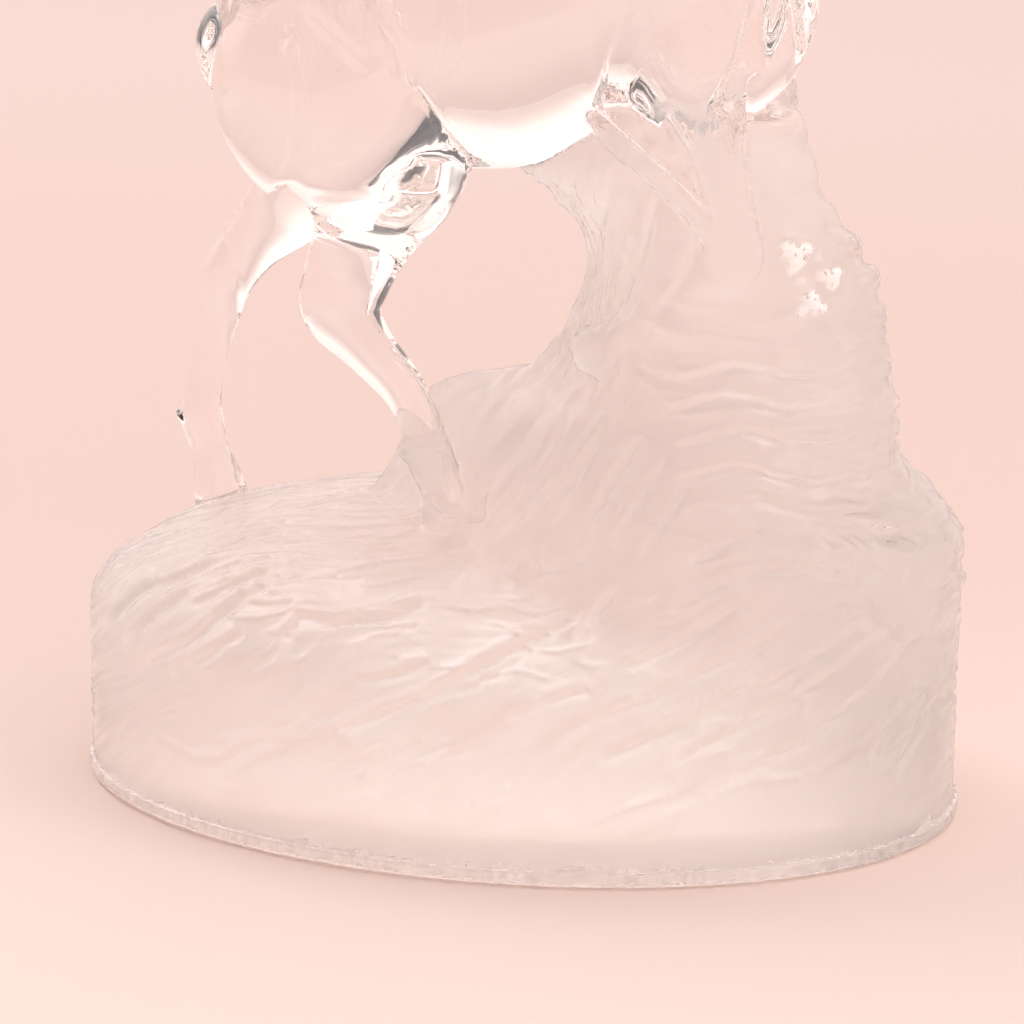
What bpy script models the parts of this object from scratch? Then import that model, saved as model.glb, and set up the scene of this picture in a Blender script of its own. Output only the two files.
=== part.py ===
"""A crystal deer: a stag that leaps over a rock, pressed in one piece of glass with its oval base.

The deer and the rock are lofted limb by limb and fused into one skin, as glass fills a mould.
Metres, +Z up. The origin is the middle of the underside; the deer faces +X.
"""

import math

import bmesh
import bpy
import numpy as np
from mathutils import Vector

# The oval base, a plinth with an upright wall and a domed top
BASE_LENGTH = 0.140
BASE_WIDTH = 0.090
WALL_TOP = 0.027
DOME_RISE = 0.020
DOME_POWER = 0.5

FOOT_HEIGHT = 0.0026
FOOT_STEP = 0.0006
FOOT_BEVEL = 0.0010

# The deer, from its rump to its leading knee. Its limbs are shares of this length
DEER_LENGTH = 0.100
HOOF_SINK = 0.0008

# The skin of the glass
SKIN_GRAIN = 0.0010
SOFTENING_PASSES = 3
SKIN_TRIANGLES = 9000

OVAL_STEPS = 96
LIMB_SIDES = 20
RINGS_PER_STATION = 5
CAP_RINGS = 4

# Stations of the deer's forms, as shares of DEER_LENGTH: x along the deer, y to its left, z above the wall's top,
# then half the depth in the plane of the limb and half the width across it
TRUNK = [
    (-0.428, 0, 0.890, 0.098, 0.084),
    (-0.380, 0, 0.910, 0.138, 0.112),
    (-0.300, 0, 0.925, 0.150, 0.132),
    (-0.200, 0, 0.920, 0.158, 0.142),
    (-0.110, 0, 0.914, 0.164, 0.146),
    (-0.030, 0, 0.916, 0.174, 0.150),
    (0.050, 0, 0.950, 0.162, 0.154),
    (0.130, 0, 0.985, 0.158, 0.155),
    (0.220, 0, 1.010, 0.180, 0.152),
    (0.300, 0, 1.015, 0.188, 0.142),
    (0.374, 0, 0.995, 0.150, 0.088),
]
NECK = [
    (0.270, 0, 1.020, 0.150, 0.116),
    (0.338, 0, 1.155, 0.140, 0.100),
    (0.400, 0, 1.275, 0.116, 0.083),
    (0.452, 0, 1.382, 0.094, 0.069),
    (0.494, 0, 1.478, 0.076, 0.060),
]
HEAD = [
    (0.480, 0, 1.508, 0.056, 0.052),
    (0.535, 0, 1.524, 0.075, 0.063),
    (0.600, 0, 1.504, 0.062, 0.053),
    (0.665, 0, 1.474, 0.047, 0.040),
    (0.712, 0, 1.452, 0.040, 0.036),
    (0.735, 0, 1.441, 0.033, 0.031),
]
TAIL = [
    (-0.395, 0, 0.990, 0.042, 0.045),
    (-0.448, 0, 1.038, 0.038, 0.041),
    (-0.482, 0, 1.088, 0.031, 0.034),
    (-0.498, 0, 1.132, 0.020, 0.023),
]
RIGHT_HIND_LEG = [
    (-0.300, -0.045, 0.970, 0.140, 0.095),
    (-0.285, -0.066, 0.865, 0.185, 0.102),
    (-0.220, -0.078, 0.768, 0.166, 0.094),
    (-0.211, -0.086, 0.700, 0.130, 0.090),
    (-0.219, -0.112, 0.640, 0.080, 0.062),
    (-0.240, -0.122, 0.582, 0.069, 0.048),
    (-0.250, -0.122, 0.527, 0.064, 0.044),
    (-0.207, -0.122, 0.466, 0.042, 0.038),
    (-0.152, -0.122, 0.405, 0.034, 0.034),
    (-0.124, -0.120, 0.347, 0.032, 0.032),
    (-0.112, -0.120, 0.302, 0.036, 0.036),
    (-0.096, -0.120, 0.262, 0.033, 0.034),
]
LEFT_HIND_LEG = [
    (-0.300, 0.045, 0.970, 0.140, 0.095),
    (-0.300, 0.068, 0.850, 0.175, 0.102),
    (-0.335, 0.082, 0.720, 0.125, 0.092),
    (-0.405, 0.112, 0.620, 0.072, 0.058),
    (-0.468, 0.120, 0.552, 0.050, 0.042),
    (-0.512, 0.120, 0.490, 0.045, 0.040),
    (-0.526, 0.120, 0.430, 0.034, 0.034),
    (-0.540, 0.120, 0.370, 0.028, 0.031),
    (-0.552, 0.120, 0.300, 0.028, 0.031),
    (-0.557, 0.120, 0.258, 0.034, 0.034),
    (-0.542, 0.120, 0.200, 0.027, 0.031),
]
RIGHT_FOREARM = [
    (0.250, -0.060, 1.010, 0.145, 0.090),
    (0.258, -0.096, 0.900, 0.138, 0.078),
    (0.296, -0.114, 0.820, 0.094, 0.064),
    (0.336, -0.125, 0.750, 0.058, 0.052),
    (0.362, -0.130, 0.692, 0.045, 0.045),
    (0.370, -0.130, 0.662, 0.046, 0.045),
]
RIGHT_SHANK = [
    (0.374, -0.130, 0.650, 0.043, 0.042),
    (0.345, -0.132, 0.618, 0.038, 0.037),
    (0.285, -0.132, 0.578, 0.030, 0.031),
    (0.216, -0.130, 0.534, 0.031, 0.033),
    (0.190, -0.128, 0.517, 0.026, 0.029),
]
LEFT_FOREARM = [
    (0.270, 0.060, 1.010, 0.140, 0.090),
    (0.300, 0.095, 0.900, 0.120, 0.076),
    (0.340, 0.110, 0.815, 0.078, 0.058),
    (0.376, 0.115, 0.745, 0.052, 0.046),
    (0.398, 0.115, 0.695, 0.044, 0.042),
]
LEFT_SHANK = [
    (0.400, 0.115, 0.690, 0.042, 0.041),
    (0.415, 0.115, 0.640, 0.031, 0.032),
    (0.432, 0.115, 0.592, 0.033, 0.034),
    (0.448, 0.115, 0.562, 0.028, 0.030),
]
# One side's ear, antler beam and tines; the other side is mirrored
EAR = [
    (0.500, 0.040, 1.555, 0.018, 0.016),
    (0.472, 0.078, 1.584, 0.029, 0.015),
    (0.442, 0.116, 1.604, 0.024, 0.013),
    (0.420, 0.142, 1.612, 0.011, 0.009),
]
BEAM = [
    (0.520, 0.030, 1.560, 0.030, 0.030),
    (0.488, 0.058, 1.650, 0.027, 0.027),
    (0.440, 0.090, 1.745, 0.025, 0.025),
    (0.425, 0.112, 1.840, 0.022, 0.022),
    (0.452, 0.120, 1.925, 0.016, 0.016),
]
TINES = [
    [(0.512, 0.040, 1.590, 0.022, 0.022), (0.565, 0.060, 1.635, 0.019, 0.019), (0.592, 0.066, 1.700, 0.013, 0.013)],
    [(0.445, 0.085, 1.730, 0.022, 0.022), (0.500, 0.105, 1.782, 0.019, 0.019), (0.525, 0.110, 1.850, 0.013, 0.013)],
]

# How square a limb's section is: 2 is an oval, more is flatter at the sides, as a press mould leaves it
TRUNK_FULLNESS = 2.7
LEG_FULLNESS = 2.3
ROUND = 2.0

# A cloven hoof: two toes, as shares of DEER_LENGTH
TOE_SPREAD = 0.020
TOE_WIDTH = 0.021
DEWCLAW_SIZE = 0.016

# The rock, in level sections: height above the wall's top, left end, right end, half the width, middle of the width.
# Shares of DEER_LENGTH. The notch near z 0.6 is the arch under the belly
ROCK = [
    (-0.050, -0.330, 0.660, 0.380, 0.000),
    (0.060, -0.300, 0.694, 0.365, 0.000),
    (0.160, -0.270, 0.704, 0.330, 0.010),
    (0.215, -0.235, 0.683, 0.302, 0.020),
    (0.265, -0.210, 0.636, 0.272, 0.030),
    (0.302, -0.192, 0.600, 0.252, 0.036),
    (0.340, -0.178, 0.594, 0.235, 0.042),
    (0.368, -0.150, 0.594, 0.222, 0.045),
    (0.388, -0.100, 0.593, 0.212, 0.045),
    (0.400, -0.030, 0.592, 0.206, 0.035),
    (0.425, 0.022, 0.588, 0.200, 0.025),
    (0.490, 0.070, 0.578, 0.185, 0.015),
    (0.590, 0.104, 0.557, 0.165, 0.005),
    (0.650, 0.092, 0.520, 0.150, 0.000),
    (0.700, 0.048, 0.486, 0.136, 0.000),
    (0.745, -0.008, 0.468, 0.122, 0.000),
    (0.790, 0.000, 0.456, 0.110, 0.000),
    (0.850, 0.080, 0.440, 0.085, 0.000),
]
ROCK_MIDDLE = 0.27
ROCK_TAPER = 2.4
# Where the sections of rock and dome are measured from: low down, and from the column up
LOW_MIDDLE = 0.10
LOW_TOP = 0.20
HIGH_START = 0.42
# How far the rock's foot flows out into the dome
ROCK_FILLET = 0.006
STRATA_PITCH = 0.062
STRATA_DEPTH = 0.009
FLUTE_COUNT = 34
FLUTE_DEPTH = 0.006

GLASS_COLOUR = (0.98, 0.95, 0.94, 1.0)
GLASS_ROUGHNESS = 0.05
GLASS_INDEX = 1.52


def clear_scene():
    """Starts from an empty scene."""
    for thing in list(bpy.data.objects):
        bpy.data.objects.remove(thing)


def smooth_rows(rows, steps):
    """Rows between the given ones, on a Catmull-Rom curve through all of them."""
    rows = np.array(rows, float)
    ends = np.vstack([2 * rows[0] - rows[1], rows, 2 * rows[-1] - rows[-2]])
    found = []
    for before, here, there, after in zip(ends, ends[1:], ends[2:], ends[3:]):
        for step in range(steps):
            t = step / steps
            found.append(
                0.5 * (2 * here + (there - before) * t
                       + (2 * before - 5 * here + 4 * there - after) * t ** 2
                       + (3 * here - before - 3 * there + after) * t ** 3)
            )
    found.append(rows[-1])
    return found


def skin_rings(shape, rings):
    """Joins closed rings of points into one closed tube, with a fan at either end."""
    loops = [[shape.verts.new(point) for point in ring] for ring in rings]
    count = len(loops[0])
    for low, high in zip(loops, loops[1:]):
        for i in range(count):
            j = (i + 1) % count
            shape.faces.new((low[i], low[j], high[j], high[i]))
    for loop, turned in ((loops[0], True), (loops[-1], False)):
        middle = shape.verts.new(sum((corner.co for corner in loop), Vector()) / count)
        for i in range(count):
            j = (i + 1) % count
            corners = (loop[j], loop[i], middle) if turned else (loop[i], loop[j], middle)
            shape.faces.new(corners)


def bulged(value, fullness):
    """A sine or cosine, pushed out towards its ends to square an oval."""
    return math.copysign(abs(value) ** (2 / fullness), value)


def limb_ring(centre, along, depth, width, fullness):
    """An oval ring square to the limb; its depth lies in the limb's upright plane."""
    up = along.cross(Vector((0, 1, 0))).normalized()
    side = up.cross(along).normalized()
    turns = [2 * math.pi * i / LIMB_SIDES for i in range(LIMB_SIDES)]
    return [
        centre + up * depth * bulged(math.cos(turn), fullness) + side * width * bulged(math.sin(turn), fullness)
        for turn in turns
    ]


def place(share):
    """A point of the deer, from shares of its length to metres above the base's wall."""
    x, y, z = share
    return Vector((x * DEER_LENGTH, y * DEER_LENGTH, WALL_TOP + z * DEER_LENGTH))


def loft_limb(shape, stations, fullness=ROUND):
    """A closed limb through its stations, with rounded ends."""
    rows = smooth_rows(stations, RINGS_PER_STATION)
    centres = [place(row[:3]) for row in rows]
    depths = [row[3] * DEER_LENGTH for row in rows]
    widths = [row[4] * DEER_LENGTH for row in rows]
    tangents = []
    for i in range(len(rows)):
        ahead = centres[min(i + 1, len(rows) - 1)]
        behind = centres[max(i - 1, 0)]
        tangents.append((ahead - behind).normalized())
    rings = []
    for i in range(CAP_RINGS, 0, -1):
        rings.append(cap_ring(centres[0], -tangents[0], tangents[0], depths[0], widths[0], fullness, i))
    for centre, along, depth, width in zip(centres, tangents, depths, widths):
        rings.append(limb_ring(centre, along, depth, width, fullness))
    for i in range(1, CAP_RINGS + 1):
        rings.append(cap_ring(centres[-1], tangents[-1], tangents[-1], depths[-1], widths[-1], fullness, i))
    skin_rings(shape, rings)


def cap_ring(centre, outward, along, depth, width, fullness, step):
    """A ring of the rounded end past a limb's last station."""
    lean = 0.5 * math.pi * step / (CAP_RINGS + 1)
    shift = outward * math.sin(lean) * min(depth, width)
    return limb_ring(centre + shift, along, depth * math.cos(lean), width * math.cos(lean), fullness)


def mirrored(stations):
    """The same stations on the deer's other side."""
    return [(x, -y, z, depth, width) for x, y, z, depth, width in stations]


def dome_height(x, y):
    """Height of the base's domed top above the table, at a point in metres."""
    share = min(1.0, (2 * x / BASE_LENGTH) ** 2 + (2 * y / BASE_WIDTH) ** 2)
    return WALL_TOP + DOME_RISE * (1 - share) ** DOME_POWER


def oval(length, width, z):
    """A level oval ring of points."""
    turns = [2 * math.pi * i / OVAL_STEPS for i in range(OVAL_STEPS)]
    return [Vector((length / 2 * math.cos(turn), width / 2 * math.sin(turn), z)) for turn in turns]


def rock_relief(turn, level):
    """How far the rock's skin stands out: tilted strata to the right and upright flutes on the column."""
    right = 0.5 + 0.5 * math.cos(turn)
    wander = 1.3 * math.sin(1.5 * turn + 4.0 * level) + 0.8 * math.sin(4.0 * turn + 9.0 * level)
    strength = 0.7 + 0.5 * math.sin(3.0 * turn + 11.0 * level)
    strata = strength * (abs(math.sin(math.pi * level / STRATA_PITCH + wander)) - 0.5)
    flutes = abs(math.sin(0.5 * FLUTE_COUNT * turn + 3.0 * level)) - 0.5
    return STRATA_DEPTH * strata * right + FLUTE_DEPTH * flutes * (1 - right)


def rock_reach(rows, level, middle, turns):
    """The rock's reach from the middle at one level, in metres, along each of the turns."""
    left, right, half_width, middle_y = [np.interp(level, rows[:, 0], rows[:, i]) for i in range(1, 5)]
    places = []
    for turn in np.linspace(-math.pi, math.pi, 4 * OVAL_STEPS, endpoint=False):
        ahead = math.cos(turn) > 0
        reach = right - ROCK_MIDDLE if ahead else ROCK_MIDDLE - left
        relief = rock_relief(turn, level)
        spread = math.copysign(abs(math.sin(turn)) ** (1 if ahead else ROCK_TAPER), math.sin(turn))
        x = ROCK_MIDDLE + (reach + relief) * math.cos(turn) - middle
        y = middle_y * max(0.0, -math.cos(turn)) + (half_width + relief) * spread
        places.append((math.atan2(y, x), math.hypot(x, y) * DEER_LENGTH))
    places.sort()
    angles, lengths = zip(*places)
    return np.interp(turns, angles, lengths, period=2 * math.pi)


def plinth_reach(height, middle, turns):
    """The plinth's reach from the middle at a height above the table, in metres, along each of the turns."""
    rise = min(1.0, max(0.0, height - WALL_TOP) / DOME_RISE)
    scale = math.sqrt(1 - rise ** (1 / DOME_POWER))
    half_length = scale * (BASE_LENGTH / 2 - FOOT_STEP)
    half_width = scale * (BASE_WIDTH / 2 - FOOT_STEP)
    if half_length <= abs(middle):
        return np.zeros(len(turns))
    across, along = np.sin(turns), np.cos(turns)
    a = along ** 2 / half_length ** 2 + across ** 2 / half_width ** 2
    b = 2 * middle * along / half_length ** 2
    c = middle ** 2 / half_length ** 2 - 1
    return (np.sqrt(b * b - 4 * a * c) - b) / (2 * a)


def add_mound(shape):
    """The plinth and the rock that flows out into its dome. It runs below the table and is cut off there."""
    rows = np.array(smooth_rows(ROCK, RINGS_PER_STATION))
    dome = [WALL_TOP + DOME_RISE * math.sin(0.5 * math.pi * i / 16) for i in range(16)]
    wall = list(np.linspace(-WALL_TOP / 4, WALL_TOP, 12, endpoint=False))
    rock = [WALL_TOP + level * DEER_LENGTH for level in rows[:, 0] if level * DEER_LENGTH > 0.9 * DOME_RISE]
    turns = np.linspace(0, 2 * math.pi, OVAL_STEPS, endpoint=False)
    rings = []
    for height in sorted(wall + dome + rock):
        level = (height - WALL_TOP) / DEER_LENGTH
        middle = np.interp(level, [LOW_TOP, HIGH_START], [LOW_MIDDLE, ROCK_MIDDLE])
        plinth = plinth_reach(height, middle * DEER_LENGTH, turns)
        reach = plinth
        if level > rows[0, 0]:
            stone = rock_reach(rows, level, middle, turns)
            near = np.clip(1 - np.abs(stone - plinth) / ROCK_FILLET, 0, 1)
            fillet = np.clip((height - WALL_TOP) / ROCK_FILLET, 0, 1)
            reach = np.maximum(stone, plinth) + fillet * ROCK_FILLET / 4 * near ** 2
            reach = np.minimum(reach, plinth_reach(0, middle * DEER_LENGTH, turns) + FOOT_STEP)
        x = middle * DEER_LENGTH + reach * np.cos(turns)
        y = reach * np.sin(turns)
        rings.append([Vector((x[i], y[i], height)) for i in range(OVAL_STEPS)])
    skin_rings(shape, rings)


def add_hoof(shape, ankle, toe, on_ground):
    """A cloven hoof of two toes, from the pastern's end to the toe's tip, with two dewclaws behind."""
    for side in (-1, 1):
        top = (ankle[0], ankle[1] + side * 0.5 * TOE_SPREAD, ankle[2], 0.028, TOE_WIDTH)
        sole_z = toe[2]
        if on_ground:
            x, y = toe[0] * DEER_LENGTH, toe[1] * DEER_LENGTH
            sole_z = (dome_height(x, y) - HOOF_SINK - WALL_TOP) / DEER_LENGTH + 0.020
        sole = (toe[0], toe[1] + side * TOE_SPREAD, sole_z, 0.040, TOE_WIDTH)
        middle = tuple(0.5 * (a + b) for a, b in zip(top, sole))
        loft_limb(shape, [top, middle, sole])


def add_dewclaws(shape, fetlock, back):
    """Two small claws behind a fetlock; back is the way they point."""
    for side in (-1, 1):
        root = (fetlock[0] + 0.4 * back[0], fetlock[1] + side * 0.018, fetlock[2] + 0.4 * back[1])
        tip = (fetlock[0] + back[0], fetlock[1] + side * 0.020, fetlock[2] + back[1])
        rows = [(*root, DEWCLAW_SIZE, DEWCLAW_SIZE), (*tip, 0.7 * DEWCLAW_SIZE, 0.7 * DEWCLAW_SIZE)]
        loft_limb(shape, rows)


def add_deer(shape):
    """All of the deer's limbs, from the trunk out."""
    loft_limb(shape, TRUNK, TRUNK_FULLNESS)
    for stations in (NECK, HEAD, TAIL):
        loft_limb(shape, stations)
    for stations in (RIGHT_HIND_LEG, LEFT_HIND_LEG, RIGHT_FOREARM, RIGHT_SHANK, LEFT_FOREARM, LEFT_SHANK):
        loft_limb(shape, stations, LEG_FULLNESS)
    for stations in (EAR, BEAM, *TINES):
        loft_limb(shape, stations)
        loft_limb(shape, mirrored(stations))
    add_hoof(shape, RIGHT_HIND_LEG[-1], (-0.078, -0.120, 0.215), True)
    add_hoof(shape, LEFT_HIND_LEG[-1], (-0.528, 0.120, 0.115), True)
    add_hoof(shape, RIGHT_SHANK[-1], (0.142, -0.126, 0.488), False)
    add_hoof(shape, LEFT_SHANK[-1], (0.466, 0.115, 0.538), False)
    add_dewclaws(shape, RIGHT_HIND_LEG[-2], (-0.034, 0.004))
    add_dewclaws(shape, LEFT_HIND_LEG[-2], (-0.028, 0.006))


def glass():
    """Clear pressed crystal."""
    made = bpy.data.materials.new("crystal")
    made.use_nodes = True
    shader = made.node_tree.nodes["Principled BSDF"]
    shader.inputs["Base Color"].default_value = GLASS_COLOUR
    shader.inputs["Roughness"].default_value = GLASS_ROUGHNESS
    shader.inputs["Metallic"].default_value = 0.0
    shader.inputs["IOR"].default_value = GLASS_INDEX
    shader.inputs["Transmission Weight"].default_value = 1.0
    return made


def new_object(name, shape):
    """An object from a bmesh, in the scene."""
    mesh = bpy.data.meshes.new(name)
    shape.to_mesh(mesh)
    shape.free()
    made = bpy.data.objects.new(name, mesh)
    bpy.context.scene.collection.objects.link(made)
    return made


def guide(name, shape):
    """A helper that a Boolean uses and no render shows."""
    made = new_object(name, shape)
    made.hide_render = True
    made.display_type = "WIRE"
    return made


def make_foot():
    """The flat underside and the narrow rim that stands a little proud of the wall."""
    shape = bmesh.new()
    inner = 2 * FOOT_BEVEL
    rings = [
        oval(BASE_LENGTH - inner, BASE_WIDTH - inner, 0.0),
        oval(BASE_LENGTH, BASE_WIDTH, FOOT_BEVEL),
        oval(BASE_LENGTH, BASE_WIDTH, FOOT_HEIGHT),
    ]
    skin_rings(shape, rings)
    return guide("foot_guide", shape)


def make_ground_cutter():
    """All that lies below the middle of the foot, to be cut off the drum."""
    depth = WALL_TOP
    shape = bmesh.new()
    rings = [
        oval(2 * BASE_LENGTH, 2 * BASE_WIDTH, FOOT_HEIGHT / 2 - depth),
        oval(2 * BASE_LENGTH, 2 * BASE_WIDTH, FOOT_HEIGHT / 2),
    ]
    skin_rings(shape, rings)
    return guide("ground_cutter", shape)


def add_boolean(thing, name, operation, other):
    """One exact Boolean step."""
    step = thing.modifiers.new(name, "BOOLEAN")
    step.operation = operation
    step.solver = "EXACT"
    step.object = other


def make_figurine():
    """The deer, the rock and the base, fused into one glass body on a flat foot."""
    shape = bmesh.new()
    add_mound(shape)
    add_deer(shape)
    bmesh.ops.recalc_face_normals(shape, faces=shape.faces)
    figurine = new_object("crystal_deer", shape)

    fuse = figurine.modifiers.new("fuse", "REMESH")
    fuse.mode = "VOXEL"
    fuse.voxel_size = SKIN_GRAIN
    soften = figurine.modifiers.new("soften", "SMOOTH")
    soften.factor = 0.5
    soften.iterations = SOFTENING_PASSES
    graph = bpy.context.evaluated_depsgraph_get()
    fused = figurine.evaluated_get(graph).to_mesh()
    fused_triangles = 2 * len(fused.polygons)
    figurine.evaluated_get(graph).to_mesh_clear()
    thin = figurine.modifiers.new("thin", "DECIMATE")
    thin.ratio = min(1.0, SKIN_TRIANGLES / fused_triangles)

    add_boolean(figurine, "cut_at_foot", "DIFFERENCE", make_ground_cutter())
    add_boolean(figurine, "add_foot", "UNION", make_foot())
    figurine.data.materials.append(glass())
    return figurine


def main():
    clear_scene()
    make_figurine()


main()
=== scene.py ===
"""Looks of a stag that leaps over a rock: one piece of pressed glass, clear above and satin below."""

from __future__ import annotations

import logging
import math
from dataclasses import dataclass
from enum import Enum
from typing import Any, Sequence

import bmesh
import bpy
import numpy as np
from mathutils import Euler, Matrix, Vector
from mathutils.bvhtree import BVHTree


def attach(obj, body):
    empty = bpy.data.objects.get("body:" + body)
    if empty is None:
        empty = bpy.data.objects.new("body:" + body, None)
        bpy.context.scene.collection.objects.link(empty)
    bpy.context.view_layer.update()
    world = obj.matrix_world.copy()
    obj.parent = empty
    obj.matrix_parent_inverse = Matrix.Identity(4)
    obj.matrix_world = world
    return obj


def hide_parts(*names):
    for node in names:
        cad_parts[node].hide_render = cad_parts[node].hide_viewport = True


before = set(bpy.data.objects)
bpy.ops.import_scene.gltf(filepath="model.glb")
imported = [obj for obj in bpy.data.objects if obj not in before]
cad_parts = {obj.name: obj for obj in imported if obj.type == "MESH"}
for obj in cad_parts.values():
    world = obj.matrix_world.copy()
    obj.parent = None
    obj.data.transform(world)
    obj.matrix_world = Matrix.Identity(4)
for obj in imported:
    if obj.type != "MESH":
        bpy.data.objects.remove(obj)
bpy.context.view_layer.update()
LOG = logging.getLogger("crystal_deer")

Stations = Sequence[Sequence[float]]
Colour = tuple[float, float, float, float]
Spot = tuple[float, float, float]
Flat = tuple[float, float]

PER_METRE = 1000.0
MILLIMETRE = 0.001


class Side(Enum):
    """Which of the deer's sides a paired form is on."""

    RIGHT = -1
    LEFT = 1


class Channel:
    """A node socket that takes part in arithmetic, each operation adding its own Math node."""

    def __init__(self, tree: "Tree", socket: bpy.types.NodeSocket) -> None:
        """Wraps a socket.

        Args:
            tree: The tree that the socket's node is in.
            socket: An output socket that carries a number.
        """
        self.tree = tree
        self.socket = socket

    def _math(self, operation: str, first: Any, second: Any = 0.0) -> "Channel":
        """Adds one Math node.

        Args:
            operation: The Math node's operation.
            first: Its first value, a number or a channel.
            second: Its second value, a number or a channel.

        Returns:
            The node's result.
        """
        return self.tree.add("ShaderNodeMath", {"operation": operation}, {0: first, 1: second})

    def __add__(self, other: Any) -> "Channel":
        """Sum."""
        return self._math("ADD", self, other)

    __radd__ = __add__

    def __sub__(self, other: Any) -> "Channel":
        """Difference."""
        return self._math("SUBTRACT", self, other)

    def __rsub__(self, other: Any) -> "Channel":
        """Difference from a number."""
        return self._math("SUBTRACT", other, self)

    def __mul__(self, other: Any) -> "Channel":
        """Product."""
        return self._math("MULTIPLY", self, other)

    __rmul__ = __mul__

    def __truediv__(self, other: Any) -> "Channel":
        """Quotient."""
        return self._math("DIVIDE", self, other)

    def size(self) -> "Channel":
        """The value without its sign."""
        return self._math("ABSOLUTE", self)

    def ramp(self, low: float, high: float) -> "Channel":
        """A smooth step.

        Args:
            low: The value at which the step starts, at 0.
            high: The value at which it ends, at 1.

        Returns:
            A channel from 0 to 1.
        """
        return self.tree.add(
            "ShaderNodeMapRange",
            {"interpolation_type": "SMOOTHSTEP"},
            {"Value": self, "From Min": low, "From Max": high},
        )

    def band(self, start: float, full: float, fade: float, end: float) -> "Channel":
        """A window that rises from start to full and falls from fade to end."""
        return self.ramp(start, full) * (1 - self.ramp(fade, end))


class Tree:
    """A node tree that is built node by node, in a shader or in Geometry Nodes."""

    def __init__(self, nodes: bpy.types.NodeTree) -> None:
        """Wraps a tree.

        Args:
            nodes: The tree that takes the nodes.
        """
        self.nodes = nodes

    def node(self, kind: str, settings: dict[str, Any], values: dict[Any, Any]) -> bpy.types.Node:
        """Adds a node, with its settings first and then its sockets.

        Args:
            kind: The node's type.
            settings: The node's own properties.
            values: A number, a tuple or a channel for each socket, by name or by index.

        Returns:
            The new node.
        """
        made = self.nodes.nodes.new(kind)
        for name, value in settings.items():
            setattr(made, name, value)
        for key, value in values.items():
            if isinstance(value, Channel):
                self.nodes.links.new(value.socket, made.inputs[key])
            elif isinstance(value, bpy.types.NodeSocket):
                self.nodes.links.new(value, made.inputs[key])
            else:
                made.inputs[key].default_value = value
        return made

    def add(self, kind: str, settings: dict[str, Any], values: dict[Any, Any], output: Any = 0) -> Channel:
        """Adds a node and wraps one of its outputs; the arguments are as for node()."""
        return Channel(self, self.node(kind, settings, values).outputs[output])

    def attribute(self, name: str) -> Channel:
        """A number that each point of the mesh carries."""
        return self.add("ShaderNodeAttribute", {"attribute_name": name}, {}, "Fac")

    def blend(self, share: Channel, first: Any, second: Any) -> bpy.types.NodeSocket:
        """A colour that goes from the first to the second as the share goes from 0 to 1."""
        return self.node("ShaderNodeMix", {"data_type": "RGBA"}, {0: share, 6: first, 7: second}).outputs[2]

    def parts(self, vector: bpy.types.NodeSocket) -> list[Channel]:
        """A vector's three parts."""
        return [Channel(self, part) for part in self.node("ShaderNodeSeparateXYZ", {}, {0: vector}).outputs]

    def place(self, output: str = "Object") -> list[Channel]:
        """The three parts of where a surface is shaded, or of a ray's direction in a world."""
        return self.parts(self.node("ShaderNodeTexCoord", {}, {}).outputs[output])

    def vector(self, x: Any, y: Any, z: Any) -> bpy.types.NodeSocket:
        """Three channels or numbers, as one vector socket."""
        return self.node("ShaderNodeCombineXYZ", {}, {0: x, 1: y, 2: z}).outputs[0]

    def noise(self, point: bpy.types.NodeSocket, detail: float = 1.0, seed: float = 0.0) -> Channel:
        """Soft noise around 0.5, one unit to a lump.

        Args:
            point: Where the noise is read.
            detail: How many finer layers it has.
            seed: Which of many like patterns it is.

        Returns:
            The noise, from 0 to 1.
        """
        return self.add(
            "ShaderNodeTexNoise",
            {"noise_dimensions": "4D"},
            {"Vector": point, "W": seed, "Scale": 1.0, "Detail": detail, "Roughness": 0.5},
        )


class Lofter:
    """Collects closed tubes in one bmesh."""

    def __init__(self) -> None:
        """Starts with nothing in it."""
        self.shape = bmesh.new()

    def skin(self, rings: Sequence[Sequence[Vector]]) -> None:
        """Joins closed rings into one closed tube, with a fan at either end.

        Args:
            rings: Rings of equally many points, from one end to the other.
        """
        loops = [[self.shape.verts.new(point) for point in ring] for ring in rings]
        count = len(loops[0])
        for low, high in zip(loops, loops[1:]):
            for i in range(count):
                j = (i + 1) % count
                self.shape.faces.new((low[i], low[j], high[j], high[i]))
        for loop, turned in ((loops[0], True), (loops[-1], False)):
            middle = self.shape.verts.new(sum((corner.co for corner in loop), Vector()) / count)
            for i in range(count):
                j = (i + 1) % count
                corners = (loop[j], loop[i], middle) if turned else (loop[i], loop[j], middle)
                self.shape.faces.new(corners)

    def mesh(self, name: str) -> bpy.types.Mesh:
        """Ends the collection.

        Args:
            name: The mesh's name.

        Returns:
            A mesh of all the tubes, with their faces outwards.
        """
        bmesh.ops.recalc_face_normals(self.shape, faces=self.shape.faces)
        made = bpy.data.meshes.new(name)
        self.shape.to_mesh(made)
        self.shape.free()
        return made


def smooth_rows(rows: Stations, steps: int) -> list[np.ndarray]:
    """Finds rows between the given ones.

    Args:
        rows: Rows of numbers.
        steps: How many rows to make for each given one.

    Returns:
        Rows on a Catmull-Rom curve through the given ones.
    """
    points = np.array(rows, float)
    ends = np.vstack([2 * points[0] - points[1], points, 2 * points[-1] - points[-2]])
    found = []
    for before, here, there, after in zip(ends, ends[1:], ends[2:], ends[3:]):
        for step in range(steps):
            t = step / steps
            found.append(
                0.5
                * (
                    2 * here
                    + (there - before) * t
                    + (2 * before - 5 * here + 4 * there - after) * t**2
                    + (3 * here - before - 3 * there + after) * t**3
                )
            )
    found.append(points[-1])
    return found


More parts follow.
